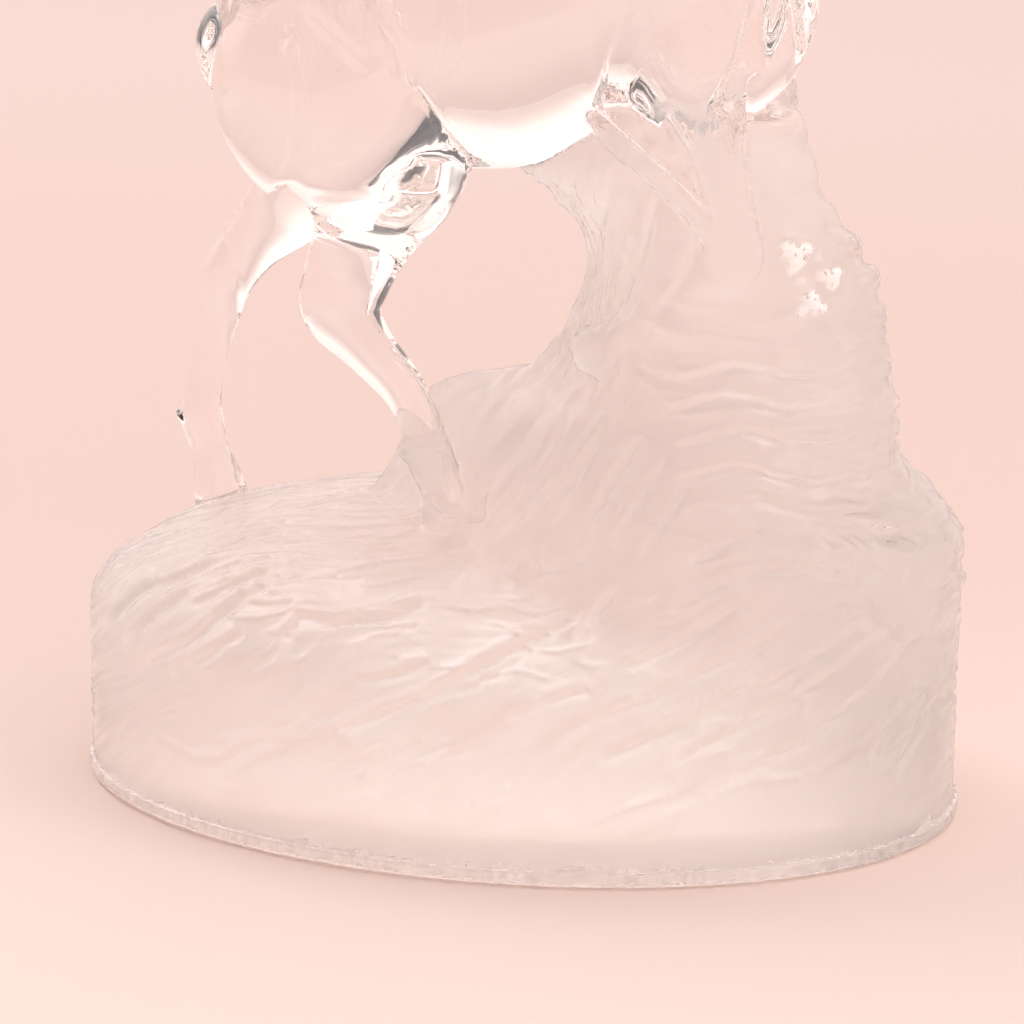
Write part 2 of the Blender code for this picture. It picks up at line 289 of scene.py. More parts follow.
def soft_step(values: np.ndarray, low: float, high: float) -> np.ndarray:
    """A smooth step from 0 at low to 1 at high."""
    share = np.clip((values - low) / (high - low), 0.0, 1.0)
    return share * share * (3 - 2 * share)


def places(mesh: bpy.types.Mesh) -> np.ndarray:
    """Where a mesh's vertices are, a row each."""
    found = np.empty(3 * len(mesh.vertices))
    mesh.vertices.foreach_get("co", found)
    return found.reshape(-1, 3)


def facings(mesh: bpy.types.Mesh) -> np.ndarray:
    """Which way a mesh's vertices face, a row each."""
    found = np.empty(3 * len(mesh.vertices))
    mesh.vertex_normals.foreach_get("vector", found)
    return found.reshape(-1, 3)


def read_layer(mesh: bpy.types.Mesh, name: str) -> np.ndarray:
    """The number that each vertex carries in a named attribute."""
    found = np.empty(len(mesh.vertices))
    mesh.attributes[name].data.foreach_get("value", found)
    return found


def write_layer(mesh: bpy.types.Mesh, name: str, values: np.ndarray) -> None:
    """Gives each vertex its number in a named attribute, which is added if the mesh lacks it."""
    layer = mesh.attributes.get(name) or mesh.attributes.new(name, "FLOAT", "POINT")
    layer.data.foreach_set("value", values)


def put(name: str, data: Any) -> bpy.types.Object:
    """Makes an object of a mesh, a lamp or a camera and puts it in the scene."""
    made = bpy.data.objects.new(name, data)
    bpy.context.scene.collection.objects.link(made)
    return made


def count_triangles(mesh: bpy.types.Mesh) -> int:
    """How many triangles a mesh's faces come to."""
    return sum(len(face.vertices) - 2 for face in mesh.polygons)


def empty_tree(owner: Any) -> Tree:
    """The node tree of a new material or world, with nothing in it."""
    owner.use_nodes = True
    owner.node_tree.nodes.clear()
    return Tree(owner.node_tree)


@dataclass
class Plinth:
    """The oval base: an upright wall, a domed top and a narrow foot."""

    length: float = 0.140
    width: float = 0.090
    wall_top: float = 0.027
    dome_rise: float = 0.020
    dome_power: float = 0.5
    foot_height: float = 0.0026
    foot_step: float = 0.0006
    foot_bevel: float = 0.0010
    chip: float = 0.0004
    steps: int = 720

    def dome_height(self, x: float, y: float) -> float:
        """Height of the domed top above the table, at a point in metres."""
        share = min(1.0, (2 * x / self.length) ** 2 + (2 * y / self.width) ** 2)
        return self.wall_top + self.dome_rise * (1 - share) ** self.dome_power

    def oval(self, length: float, width: float, z: float) -> list[Vector]:
        """A level oval ring of points."""
        turns = [2 * math.pi * i / self.steps for i in range(self.steps)]
        return [Vector((length / 2 * math.cos(turn), width / 2 * math.sin(turn), z)) for turn in turns]

    def reach(self, height: float, middle: float, turns: np.ndarray) -> np.ndarray:
        """How far the plinth reaches at one height.

        Args:
            height: The height above the table.
            middle: The place on the long axis that the reach is measured from.
            turns: The directions in which it is measured.

        Returns:
            The distance from the middle to the plinth's edge, in each direction.
        """
        rise = min(1.0, max(0.0, height - self.wall_top) / self.dome_rise)
        scale = math.sqrt(1 - rise ** (1 / self.dome_power))
        half_length = scale * (self.length / 2 - self.foot_step)
        half_width = scale * (self.width / 2 - self.foot_step)
        if half_length <= abs(middle):
            return np.zeros(len(turns))
        across, along = np.sin(turns), np.cos(turns)
        a = along**2 / half_length**2 + across**2 / half_width**2
        b = 2 * middle * along / half_length**2
        c = middle**2 / half_length**2 - 1
        return (np.sqrt(b * b - 4 * a * c) - b) / (2 * a)

    def foot(self) -> bpy.types.Mesh:
        """Makes the flat underside and the rim that stands a little proud of the wall, with small chips.

        Returns:
            A closed mesh.
        """
        lofter = Lofter()
        inner = 2 * self.foot_bevel
        soft = 0.35 * self.foot_bevel
        rings = [
            self.oval(self.length - inner, self.width - inner, 0.0),
            self.oval(self.length - soft, self.width - soft, 0.55 * self.foot_bevel),
            self.oval(self.length, self.width, 1.2 * self.foot_bevel),
            self.oval(self.length, self.width, self.foot_height - 0.3 * self.foot_bevel),
            self.oval(self.length - soft, self.width - soft, self.foot_height),
            self.oval(self.length - 4 * self.foot_step, self.width - 4 * self.foot_step, self.foot_height),
        ]
        for ring, share in ((rings[2], 0.35), (rings[3], 1.0), (rings[4], 0.8)):
            for i, point in enumerate(ring):
                wave = math.sin(0.71 * i) * math.sin(0.137 * i + 1.0) * math.sin(0.053 * i + 2.0)
                nick = share * self.chip * max(0.0, wave - 0.15)
                point.x *= 1 - nick / self.length
                point.y *= 1 - nick / self.width
                point.z -= 0.4 * nick
        lofter.skin(rings)
        return lofter.mesh("foot")


@dataclass
class Rock:
    """The rock that holds up the deer's belly, in level sections.

    A section is its height above the wall's top, its left end, its right end, half its width and the middle of
    its width, as shares of the deer's length.
    """

    sections: Stations = (
        (-0.050, -0.330, 0.660, 0.380, 0.000),
        (0.060, -0.300, 0.694, 0.365, 0.000),
        (0.160, -0.270, 0.704, 0.330, 0.010),
        (0.215, -0.235, 0.683, 0.302, 0.020),
        (0.265, -0.210, 0.636, 0.272, 0.030),
        (0.302, -0.192, 0.600, 0.252, 0.036),
        (0.340, -0.178, 0.594, 0.235, 0.042),
        (0.368, -0.150, 0.594, 0.222, 0.045),
        (0.388, -0.100, 0.593, 0.212, 0.045),
        (0.400, -0.030, 0.592, 0.206, 0.035),
        (0.425, 0.022, 0.588, 0.200, 0.025),
        (0.490, 0.070, 0.578, 0.185, 0.015),
        (0.590, 0.104, 0.557, 0.165, 0.005),
        (0.650, 0.092, 0.520, 0.150, 0.000),
        (0.700, 0.048, 0.486, 0.136, 0.000),
        (0.745, -0.008, 0.468, 0.122, 0.000),
        (0.790, 0.000, 0.456, 0.110, 0.000),
        (0.850, 0.080, 0.440, 0.085, 0.000),
    )
    middle: float = 0.27
    taper: float = 2.4
    strata_pitch: float = 0.062
    strata_depth: float = 0.009
    flute_count: int = 34
    flute_depth: float = 0.006
    samples: int = 1440

    def relief(self, turns: np.ndarray, level: float) -> np.ndarray:
        """How far the skin stands out: tilted strata to the right, upright flutes on the column.

        Args:
            turns: The directions in which it is asked for.
            level: The height above the wall's top, as a share of the deer's length.

        Returns:
            The relief in each direction, as shares of the deer's length.
        """
        right = 0.5 + 0.5 * np.cos(turns)
        wander = 1.3 * np.sin(1.5 * turns + 4.0 * level) + 0.8 * np.sin(4.0 * turns + 9.0 * level)
        strength = 0.7 + 0.5 * np.sin(3.0 * turns + 11.0 * level)
        strata = strength * (np.abs(np.sin(math.pi * level / self.strata_pitch + wander)) - 0.5)
        flutes = np.abs(np.sin(0.5 * self.flute_count * turns + 3.0 * level)) - 0.5
        return self.strata_depth * strata * right + self.flute_depth * flutes * (1 - right)

    def reach(self, rows: np.ndarray, level: float, middle: float, turns: np.ndarray) -> np.ndarray:
        """How far the rock reaches at one level.

        Args:
            rows: The rock's smoothed sections.
            level: The height above the wall's top, as a share of the deer's length.
            middle: The place on the long axis that the reach is measured from.
            turns: The directions in which it is measured.

        Returns:
            The distance from the middle to the rock's skin in each direction, as shares of the deer's length.
        """
        left, right, half_width, middle_y = (np.interp(level, rows[:, 0], rows[:, i]) for i in range(1, 5))
        around = np.linspace(-math.pi, math.pi, self.samples, endpoint=False)
        across, along = np.sin(around), np.cos(around)
        relief = self.relief(around, level)
        length = np.where(along > 0, right - self.middle, self.middle - left)
        spread = np.sign(across) * np.abs(across) ** np.where(along > 0, 1.0, self.taper)
        x = self.middle + (length + relief) * along - middle
        y = middle_y * np.maximum(0.0, -along) + (half_width + relief) * spread
        angles, lengths = np.arctan2(y, x), np.hypot(x, y)
        order = np.argsort(angles)
        return np.interp(turns, angles[order], lengths[order], period=2 * math.pi)


@dataclass
class Mound:
    """The plinth and the rock that flows out into its dome, as one form."""

    plinth: Plinth
    rock: Rock
    scale: float
    low_middle: float = 0.10
    low_top: float = 0.20
    high_start: float = 0.42
    fillet: float = 0.006
    steps: int = 360
    dome_rings: int = 28
    wall_rings: int = 12
    rock_rings: int = 8

    def add(self, lofter: Lofter) -> None:
        """Adds the mound. It runs below the table, where it is cut off afterwards.

        Args:
            lofter: What the mound is added to.
        """
        rows = np.array(smooth_rows(self.rock.sections, self.rock_rings))
        base = self.plinth
        leans = [0.5 * math.pi * i / self.dome_rings for i in range(self.dome_rings)]
        dome = [base.wall_top + base.dome_rise * math.sin(lean) for lean in leans]
        wall = list(np.linspace(-base.wall_top / 4, base.wall_top, self.wall_rings, endpoint=False))
        rock = [base.wall_top + rise for rise in rows[:, 0] * self.scale if rise > 0.9 * base.dome_rise]
        turns = np.linspace(0, 2 * math.pi, self.steps, endpoint=False)
        lofter.skin([self.ring(rows, height, turns) for height in sorted(wall + dome + rock)])

    def ring(self, rows: np.ndarray, height: float, turns: np.ndarray) -> list[Vector]:
        """Finds the mound's section at one height.

        Args:
            rows: The rock's smoothed sections.
            height: The height above the table.
            turns: The direction of each point from the section's middle.

        Returns:
            The section's points.
        """
        level = (height - self.plinth.wall_top) / self.scale
        middle = self.scale * np.interp(level, [self.low_top, self.high_start], [self.low_middle, self.rock.middle])
        base = self.plinth.reach(height, middle, turns)
        reach = base
        if level > rows[0, 0]:
            stone = self.scale * self.rock.reach(rows, level, middle / self.scale, turns)
            near = np.clip(1 - np.abs(stone - base) / self.fillet, 0.0, 1.0)
            flow = np.clip((height - self.plinth.wall_top) / self.fillet, 0.0, 1.0)
            reach = np.maximum(stone, base) + flow * self.fillet / 4 * near**2
            reach = np.minimum(reach, self.plinth.reach(0.0, middle, turns) + self.plinth.foot_step)
        return [Vector((middle + r * math.cos(t), r * math.sin(t), height)) for r, t in zip(reach, turns)]


@dataclass
class Deer:
    """The stag, limb by limb.

    A station is a point, half the depth in the plane of the limb and half the width across it. All are shares of
    the deer's length: x along it, y to its left, z above the top of the plinth's wall.
    """

    plinth: Plinth
    length: float = 0.100
    sides: int = 40
    rings: int = 10
    caps: int = 8
    toe_spread: float = 0.020
    toe_width: float = 0.021
    dewclaw: float = 0.016
    hoof_sink: float = 0.0008
    trunk_fullness: float = 2.7
    leg_fullness: float = 2.3
    trunk: Stations = (
        (-0.428, 0, 0.890, 0.098, 0.084),
        (-0.380, 0, 0.910, 0.138, 0.112),
        (-0.300, 0, 0.925, 0.150, 0.132),
        (-0.200, 0, 0.920, 0.158, 0.142),
        (-0.110, 0, 0.914, 0.164, 0.146),
        (-0.030, 0, 0.916, 0.174, 0.150),
        (0.050, 0, 0.950, 0.162, 0.154),
        (0.130, 0, 0.985, 0.158, 0.155),
        (0.220, 0, 1.010, 0.180, 0.152),
        (0.300, 0, 1.015, 0.188, 0.142),
        (0.374, 0, 0.995, 0.150, 0.088),
    )
    neck: Stations = (
        (0.270, 0, 1.020, 0.150, 0.116),
        (0.338, 0, 1.155, 0.140, 0.100),
        (0.400, 0, 1.275, 0.116, 0.083),
        (0.452, 0, 1.382, 0.094, 0.069),
        (0.494, 0, 1.478, 0.076, 0.060),
    )
    head: Stations = (
        (0.480, 0, 1.508, 0.056, 0.052),
        (0.535, 0, 1.524, 0.075, 0.063),
        (0.600, 0, 1.504, 0.062, 0.053),
        (0.665, 0, 1.474, 0.047, 0.040),
        (0.712, 0, 1.452, 0.040, 0.036),
        (0.735, 0, 1.441, 0.033, 0.031),
    )
    tail: Stations = (
        (-0.395, 0, 0.990, 0.042, 0.045),
        (-0.448, 0, 1.038, 0.038, 0.041),
        (-0.482, 0, 1.088, 0.031, 0.034),
        (-0.498, 0, 1.132, 0.020, 0.023),
    )
    right_hind_leg: Stations = (
        (-0.300, -0.045, 0.970, 0.140, 0.095),
        (-0.285, -0.066, 0.865, 0.185, 0.102),
        (-0.220, -0.078, 0.768, 0.166, 0.094),
        (-0.211, -0.086, 0.700, 0.130, 0.090),
        (-0.219, -0.112, 0.640, 0.080, 0.062),
        (-0.240, -0.122, 0.582, 0.069, 0.048),
        (-0.250, -0.122, 0.527, 0.064, 0.044),
        (-0.207, -0.122, 0.466, 0.042, 0.038),
        (-0.152, -0.122, 0.405, 0.034, 0.034),
        (-0.124, -0.120, 0.347, 0.032, 0.032),
        (-0.112, -0.120, 0.302, 0.036, 0.036),
        (-0.096, -0.120, 0.262, 0.033, 0.034),
    )
    left_hind_leg: Stations = (
        (-0.300, 0.045, 0.970, 0.140, 0.095),
        (-0.300, 0.068, 0.850, 0.175, 0.102),
        (-0.335, 0.082, 0.720, 0.125, 0.092),
        (-0.405, 0.112, 0.620, 0.072, 0.058),
        (-0.468, 0.120, 0.552, 0.050, 0.042),
        (-0.512, 0.120, 0.490, 0.045, 0.040),
        (-0.526, 0.120, 0.430, 0.034, 0.034),
        (-0.540, 0.120, 0.370, 0.028, 0.031),
        (-0.552, 0.120, 0.300, 0.028, 0.031),
        (-0.557, 0.120, 0.258, 0.034, 0.034),
        (-0.542, 0.120, 0.200, 0.027, 0.031),
    )
    right_forearm: Stations = (
        (0.250, -0.060, 1.010, 0.145, 0.090),
        (0.258, -0.096, 0.900, 0.138, 0.078),
        (0.296, -0.114, 0.820, 0.094, 0.064),
        (0.336, -0.125, 0.750, 0.058, 0.052),
        (0.362, -0.130, 0.692, 0.045, 0.045),
        (0.370, -0.130, 0.662, 0.046, 0.045),
    )
    right_shank: Stations = (
        (0.374, -0.130, 0.650, 0.043, 0.042),
        (0.345, -0.132, 0.618, 0.038, 0.037),
        (0.285, -0.132, 0.578, 0.030, 0.031),
        (0.216, -0.130, 0.534, 0.031, 0.033),
        (0.190, -0.128, 0.517, 0.026, 0.029),
    )
    left_forearm: Stations = (
        (0.270, 0.060, 1.010, 0.140, 0.090),
        (0.300, 0.095, 0.900, 0.120, 0.076),
        (0.340, 0.110, 0.815, 0.078, 0.058),
        (0.376, 0.115, 0.745, 0.052, 0.046),
        (0.398, 0.115, 0.695, 0.044, 0.042),
    )
    left_shank: Stations = (
        (0.400, 0.115, 0.690, 0.042, 0.041),
        (0.415, 0.115, 0.640, 0.031, 0.032),
        (0.432, 0.115, 0.592, 0.033, 0.034),
        (0.448, 0.115, 0.562, 0.028, 0.030),
    )
    ear: Stations = (
        (0.500, 0.040, 1.555, 0.018, 0.016),
        (0.472, 0.078, 1.584, 0.029, 0.015),
        (0.442, 0.116, 1.604, 0.024, 0.013),
        (0.420, 0.142, 1.612, 0.011, 0.009),
    )
    beam: Stations = (
        (0.520, 0.030, 1.560, 0.030, 0.030),
        (0.488, 0.058, 1.650, 0.027, 0.027),
        (0.440, 0.090, 1.745, 0.025, 0.025),
        (0.425, 0.112, 1.840, 0.022, 0.022),
        (0.452, 0.120, 1.925, 0.016, 0.016),
    )
    brow_tine: Stations = (
        (0.512, 0.040, 1.590, 0.022, 0.022),
        (0.565, 0.060, 1.635, 0.019, 0.019),
        (0.592, 0.066, 1.700, 0.013, 0.013),
    )
    upper_tine: Stations = (
        (0.445, 0.085, 1.730, 0.022, 0.022),
        (0.500, 0.105, 1.782, 0.019, 0.019),
        (0.525, 0.110, 1.850, 0.013, 0.013),
    )
    right_hind_toe: Spot = (-0.078, -0.120, 0.215)
    left_hind_toe: Spot = (-0.528, 0.120, 0.115)
    right_fore_toe: Spot = (0.142, -0.126, 0.488)
    left_fore_toe: Spot = (0.466, 0.115, 0.538)
    right_dewclaw: Flat = (-0.034, 0.004)
    left_dewclaw: Flat = (-0.028, 0.006)
    toe_top: float = 0.028
    toe_depth: float = 0.040
    toe_rise: float = 0.020

    def place(self, share: Sequence[float]) -> Vector:
        """A point in metres, from shares of the deer's length above the plinth's wall."""
        x, y, z = share
        return Vector((x * self.length, y * self.length, self.plinth.wall_top + z * self.length))

    def shares(self, points: np.ndarray) -> np.ndarray:
        """Points in metres as shares of the deer's length, with y from its middle plane."""
        above = points[:, 2] - self.plinth.wall_top
        return np.stack([points[:, 0], np.abs(points[:, 1]), above], axis=1) / self.length

    def ring(self, centre: Vector, along: Vector, depth: float, width: float, fullness: float) -> list[Vector]:
        """An oval ring square to a limb.

        Args:
            centre: The ring's middle.
            along: The limb's direction there.
            depth: Half the ring's size in the limb's upright plane.
            width: Half its size across that plane.
            fullness: How square the ring is. 2 is an oval, more is flatter at the sides.

        Returns:
            The ring's points.
        """
        up = along.cross(Vector((0, 1, 0))).normalized()
        side = up.cross(along).normalized()
        turns = np.arange(self.sides) * 2 * math.pi / self.sides
        out = [np.sign(part) * np.abs(part) ** (2 / fullness) for part in (np.cos(turns), np.sin(turns))]
        return [centre + up * (depth * float(a)) + side * (width * float(b)) for a, b in zip(*out)]

    def add_limb(self, lofter: Lofter, stations: Stations, fullness: float = 2.0) -> None:
        """Adds a closed limb with rounded ends.

        Args:
            lofter: What the limb is added to.
            stations: The limb's sections.
            fullness: How square its sections are.
        """
        rows = smooth_rows(stations, self.rings)
        centres = [self.place(row[:3]) for row in rows]
        sizes = [(row[3] * self.length, row[4] * self.length) for row in rows]
        last = len(rows) - 1
        tangents = [(centres[min(i + 1, last)] - centres[max(i - 1, 0)]).normalized() for i in range(last + 1)]
        rings = []
        for i in range(self.caps, 0, -1):
            rings.append(self.cap_ring(centres[0], -tangents[0], tangents[0], sizes[0], fullness, i))
        for centre, along, size in zip(centres, tangents, sizes):
            rings.append(self.ring(centre, along, *size, fullness))
        for i in range(1, self.caps + 1):
            rings.append(self.cap_ring(centres[-1], tangents[-1], tangents[-1], sizes[-1], fullness, i))
        lofter.skin(rings)

    def cap_ring(
        self, centre: Vector, outward: Vector, along: Vector, size: Flat, fullness: float, step: int
    ) -> list[Vector]:
        """A ring of the rounded end past a limb's first or last section.

        Args:
            centre: The section's middle.
            outward: The way out of the limb.
            along: The limb's direction.
            size: Half the section's depth and half its width.
            fullness: How square the section is.
            step: How many rings past the section this one is.

        Returns:
            The ring's points.
        """
        lean = 0.5 * math.pi * step / (self.caps + 1)
        shift = outward * math.sin(lean) * min(size)
        return self.ring(centre + shift, along, size[0] * math.cos(lean), size[1] * math.cos(lean), fullness)

    def add_hoof(self, lofter: Lofter, ankle: Sequence[float], toe: Spot, on_ground: bool) -> None:
        """Adds a cloven hoof of two toes.

        Args:
            lofter: What the hoof is added to.
            ankle: The leg's last station.
            toe: The middle of the sole.
            on_ground: Whether the sole stands on the plinth's dome.
        """
        for side in Side:
            inset = side.value * 0.5 * self.toe_spread
            top = (ankle[0], ankle[1] + inset, ankle[2], self.toe_top, self.toe_width)
            sole_z = toe[2]
            if on_ground:
                height = self.plinth.dome_height(toe[0] * self.length, toe[1] * self.length)
                sole_z = (height - self.hoof_sink - self.plinth.wall_top) / self.length + self.toe_rise
            sole = (toe[0], toe[1] + side.value * self.toe_spread, sole_z, self.toe_depth, self.toe_width)
            middle = tuple(0.5 * (a + b) for a, b in zip(top, sole))
            self.add_limb(lofter, [top, middle, sole])

    def add_dewclaws(self, lofter: Lofter, fetlock: Sequence[float], back: Flat) -> None:
        """Adds two small claws behind a fetlock.

        Args:
            lofter: What the claws are added to.
            fetlock: The leg's station at its fetlock.
            back: The way that the claws point, along x and z.
        """
        for side in Side:
            root = (fetlock[0] + 0.4 * back[0], fetlock[1] + side.value * 0.018, fetlock[2] + 0.4 * back[1])
            tip = (fetlock[0] + back[0], fetlock[1] + side.value * 0.020, fetlock[2] + back[1])
            sizes = (self.dewclaw, 0.7 * self.dewclaw)
            self.add_limb(lofter, [(*point, size, size) for point, size in zip((root, tip), sizes)])

    def add_body(self, lofter: Lofter) -> None:
        """Adds the trunk, neck, head, ears, antlers, tail and hind legs.

        Args:
            lofter: What the limbs are added to.
        """
        self.add_limb(lofter, self.trunk, self.trunk_fullness)
        for stations in (self.neck, self.head, self.tail):
            self.add_limb(lofter, stations)
        for stations in (self.right_hind_leg, self.left_hind_leg):
            self.add_limb(lofter, stations, self.leg_fullness)
        for stations in (self.ear, self.beam, self.brow_tine, self.upper_tine):
            for side in Side:
                turned = [(x, side.value * y, z, depth, width) for x, y, z, depth, width in stations]
                self.add_limb(lofter, turned)
        self.add_hoof(lofter, self.right_hind_leg[-1], self.right_hind_toe, True)
        self.add_hoof(lofter, self.left_hind_leg[-1], self.left_hind_toe, True)
        self.add_dewclaws(lofter, self.right_hind_leg[-2], self.right_dewclaw)
        self.add_dewclaws(lofter, self.left_hind_leg[-2], self.left_dewclaw)

    def add_forelegs(self, lofter: Lofter) -> None:
        """Adds the forelegs, which are folded against the rock.

        Args:
            lofter: What the limbs are added to.
        """
        for stations in (self.right_forearm, self.right_shank, self.left_forearm, self.left_shank):
            self.add_limb(lofter, stations, self.leg_fullness)
        self.add_hoof(lofter, self.right_shank[-1], self.right_fore_toe, False)
        self.add_hoof(lofter, self.left_shank[-1], self.left_fore_toe, False)


@dataclass(frozen=True)
class Sight:
    """Where the near side is seen from. Marks on it are drawn in millimetres on a plane through the aim."""

    azimuth: float = 15.0
    pitch: float = 18.0
    distance: float = 1.0
    aim: Flat = (-0.00115, 0.045)

    def axes(self) -> tuple[Vector, Vector, Vector]:
        """The plane's right, its up and the way back to the eye."""
        side, lift = math.radians(self.azimuth), math.radians(self.pitch)
        back = Vector((math.sin(side) * math.cos(lift), -math.cos(side) * math.cos(lift), math.sin(lift)))
        right = Vector((math.cos(side), math.sin(side), 0.0))
        return right, back.cross(right), back

    def target(self) -> Vector:
        """The point that is looked at."""
        right = self.axes()[0]
        return Vector((self.aim[0] * right.x, self.aim[0] * right.y, self.aim[1]))

    def drawn(self, points: np.ndarray) -> np.ndarray:
        """Finds where points show on the plane.

        Args:
            points: Points in metres, a row each.

        Returns:
            Their places on the plane in millimetres, a row each.
        """
        right, up, back = (np.array(axis) for axis in self.axes())
        away = points - np.array(self.target())
        depth = self.distance - away @ back
        return np.stack([away @ right, away @ up], axis=1) * (PER_METRE * self.distance / depth)[:, None]

    def plane(self, x: Channel, y: Channel, z: Channel) -> tuple[Channel, Channel]:
        """The plane's two channels for a point in millimetres, the far side mirrored to the near one."""
        right, up, _ = self.axes()
        near = y.size() * -1.0
        return x * right.x + near * right.y, near * up.y + z * up.z + x * up.x


@dataclass(frozen=True)
class Stroke:
    """A long soft groove with a raised lip above it, along a line drawn on the near side, in millimetres."""

    line: tuple[Flat, ...]
    reach: float
    depth: float
    lip: float = 0.5

    def follow(self, flat: np.ndarray) -> tuple[np.ndarray, np.ndarray, np.ndarray]:
        """Finds where points lie by the line.

        Args:
            flat: Points on the drawing plane, a row each.

        Returns:
            Each point's distance from the line, its distance to the upper side, and a fade towards both ends.
        """
        corners = np.array(self.line, float)
        runs = np.linalg.norm(np.diff(corners, axis=0), axis=1)
        starts = np.concatenate([[0.0], np.cumsum(runs)])
        gap = np.full(len(flat), 1e9)
        side = np.zeros(len(flat))
        share = np.zeros(len(flat))
        for i, run in enumerate(runs):
            along = (corners[i + 1] - corners[i]) / run
            away = flat - corners[i]
            place = np.clip(away @ along, 0.0, run)
            rest = away - place[:, None] * along
            far = np.hypot(rest[:, 0], rest[:, 1])
            nearer = far < gap
            gap = np.where(nearer, far, gap)
            side = np.where(nearer, np.copysign(far, away @ np.array([-along[1], along[0]])), side)
            share = np.where(nearer, (starts[i] + place) / starts[-1], share)
        return gap, side, np.sqrt(np.clip(1 - (2 * share - 1) ** 4, 0.0, 1.0))

    def shift(self, flat: np.ndarray) -> np.ndarray:
        """How far the glass moves outwards, in millimetres, for points on the drawing plane."""
        gap, side, fade = self.follow(flat)
        groove = np.exp(-((side / self.reach) ** 2)) * (np.abs(side) >= gap * 0.98)
        raised = np.exp(-(((side - 1.6 * self.reach) / self.reach) ** 2))
        return self.depth * fade * (self.lip * raised - groove)

    def glint(self, flat: np.ndarray) -> np.ndarray:
        """How strongly the groove's lower edge carries a painted highlight line, for points on the drawing plane."""
        _, side, fade = self.follow(flat)
        broken = 0.62 + 0.38 * np.sin(0.9 * flat[:, 0] + 1.3 * flat[:, 1] + 5.0 * self.depth)
        return 1.7 * self.depth * fade**2 * broken * np.exp(-(((side + 0.9 * self.reach) / 0.42) ** 2))


@dataclass(frozen=True)
class Bead:
    """An uneven lump that stands out of the near side, drawn in millimetres, and how much of it is painted white as
    a highlight.
    """

    place: Flat
    size: float
    height: float
    polish: float = 0.0
    # How much of the lump is painted white as a highlight.
    white: float = 0.0

    def share(self, flat: np.ndarray) -> np.ndarray:
        """How much each point on the drawing plane belongs to the lump, from 0 to 1."""
        across, up = flat[:, 0] - self.place[0], flat[:, 1] - self.place[1]
        turn = np.arctan2(up, across)
        edge = 1 + 0.24 * np.sin(3 * turn + self.place[0]) + 0.14 * np.sin(5 * turn + 2 * self.place[1])
        gap = np.hypot(across, up) / (self.size * edge)
        return np.clip(1 - gap**2, 0.0, 1.0) ** 1.5

    def painted_highlight(self, flat: np.ndarray) -> np.ndarray:
        """How much each point on the drawing plane is painted white as a highlight, in flakes."""
        flake = np.sin(3.1 * flat[:, 0] + 1.7 * flat[:, 1]) * np.sin(2.3 * flat[:, 1] - 1.9 * flat[:, 0] + self.size)
        return self.white * soft_step(self.share(flat), 0.25, 0.40) * (1 - soft_step(flake, 0.45, 0.60))


@dataclass(frozen=True)
class Mark:
    """A small feature on both sides of the deer, along a line in shares of its length.

    Its height is in millimetres, outwards, and its etch is how satin it is engraved.
    """

    line: tuple[Spot, ...]
    reach: float
    height: float
    etch: float = 0.0

    def share(self, shares: np.ndarray) -> np.ndarray:
        """How much each point belongs to the feature.

        Args:
            shares: Points in shares of the deer's length, a row each, with y from its middle plane.

        Returns:
            A share for each point, 1 on the line.
        """
        corners = np.array(self.line, float)
        gap = np.linalg.norm(shares - corners[0], axis=1)
        for start, end in zip(corners[:-1], corners[1:]):
            run = end - start
            place = np.clip((shares - start) @ run / (run @ run), 0.0, 1.0)
            gap = np.minimum(gap, np.linalg.norm(shares - start - place[:, None] * run, axis=1))
        return np.exp(-((gap / self.reach) ** 2))


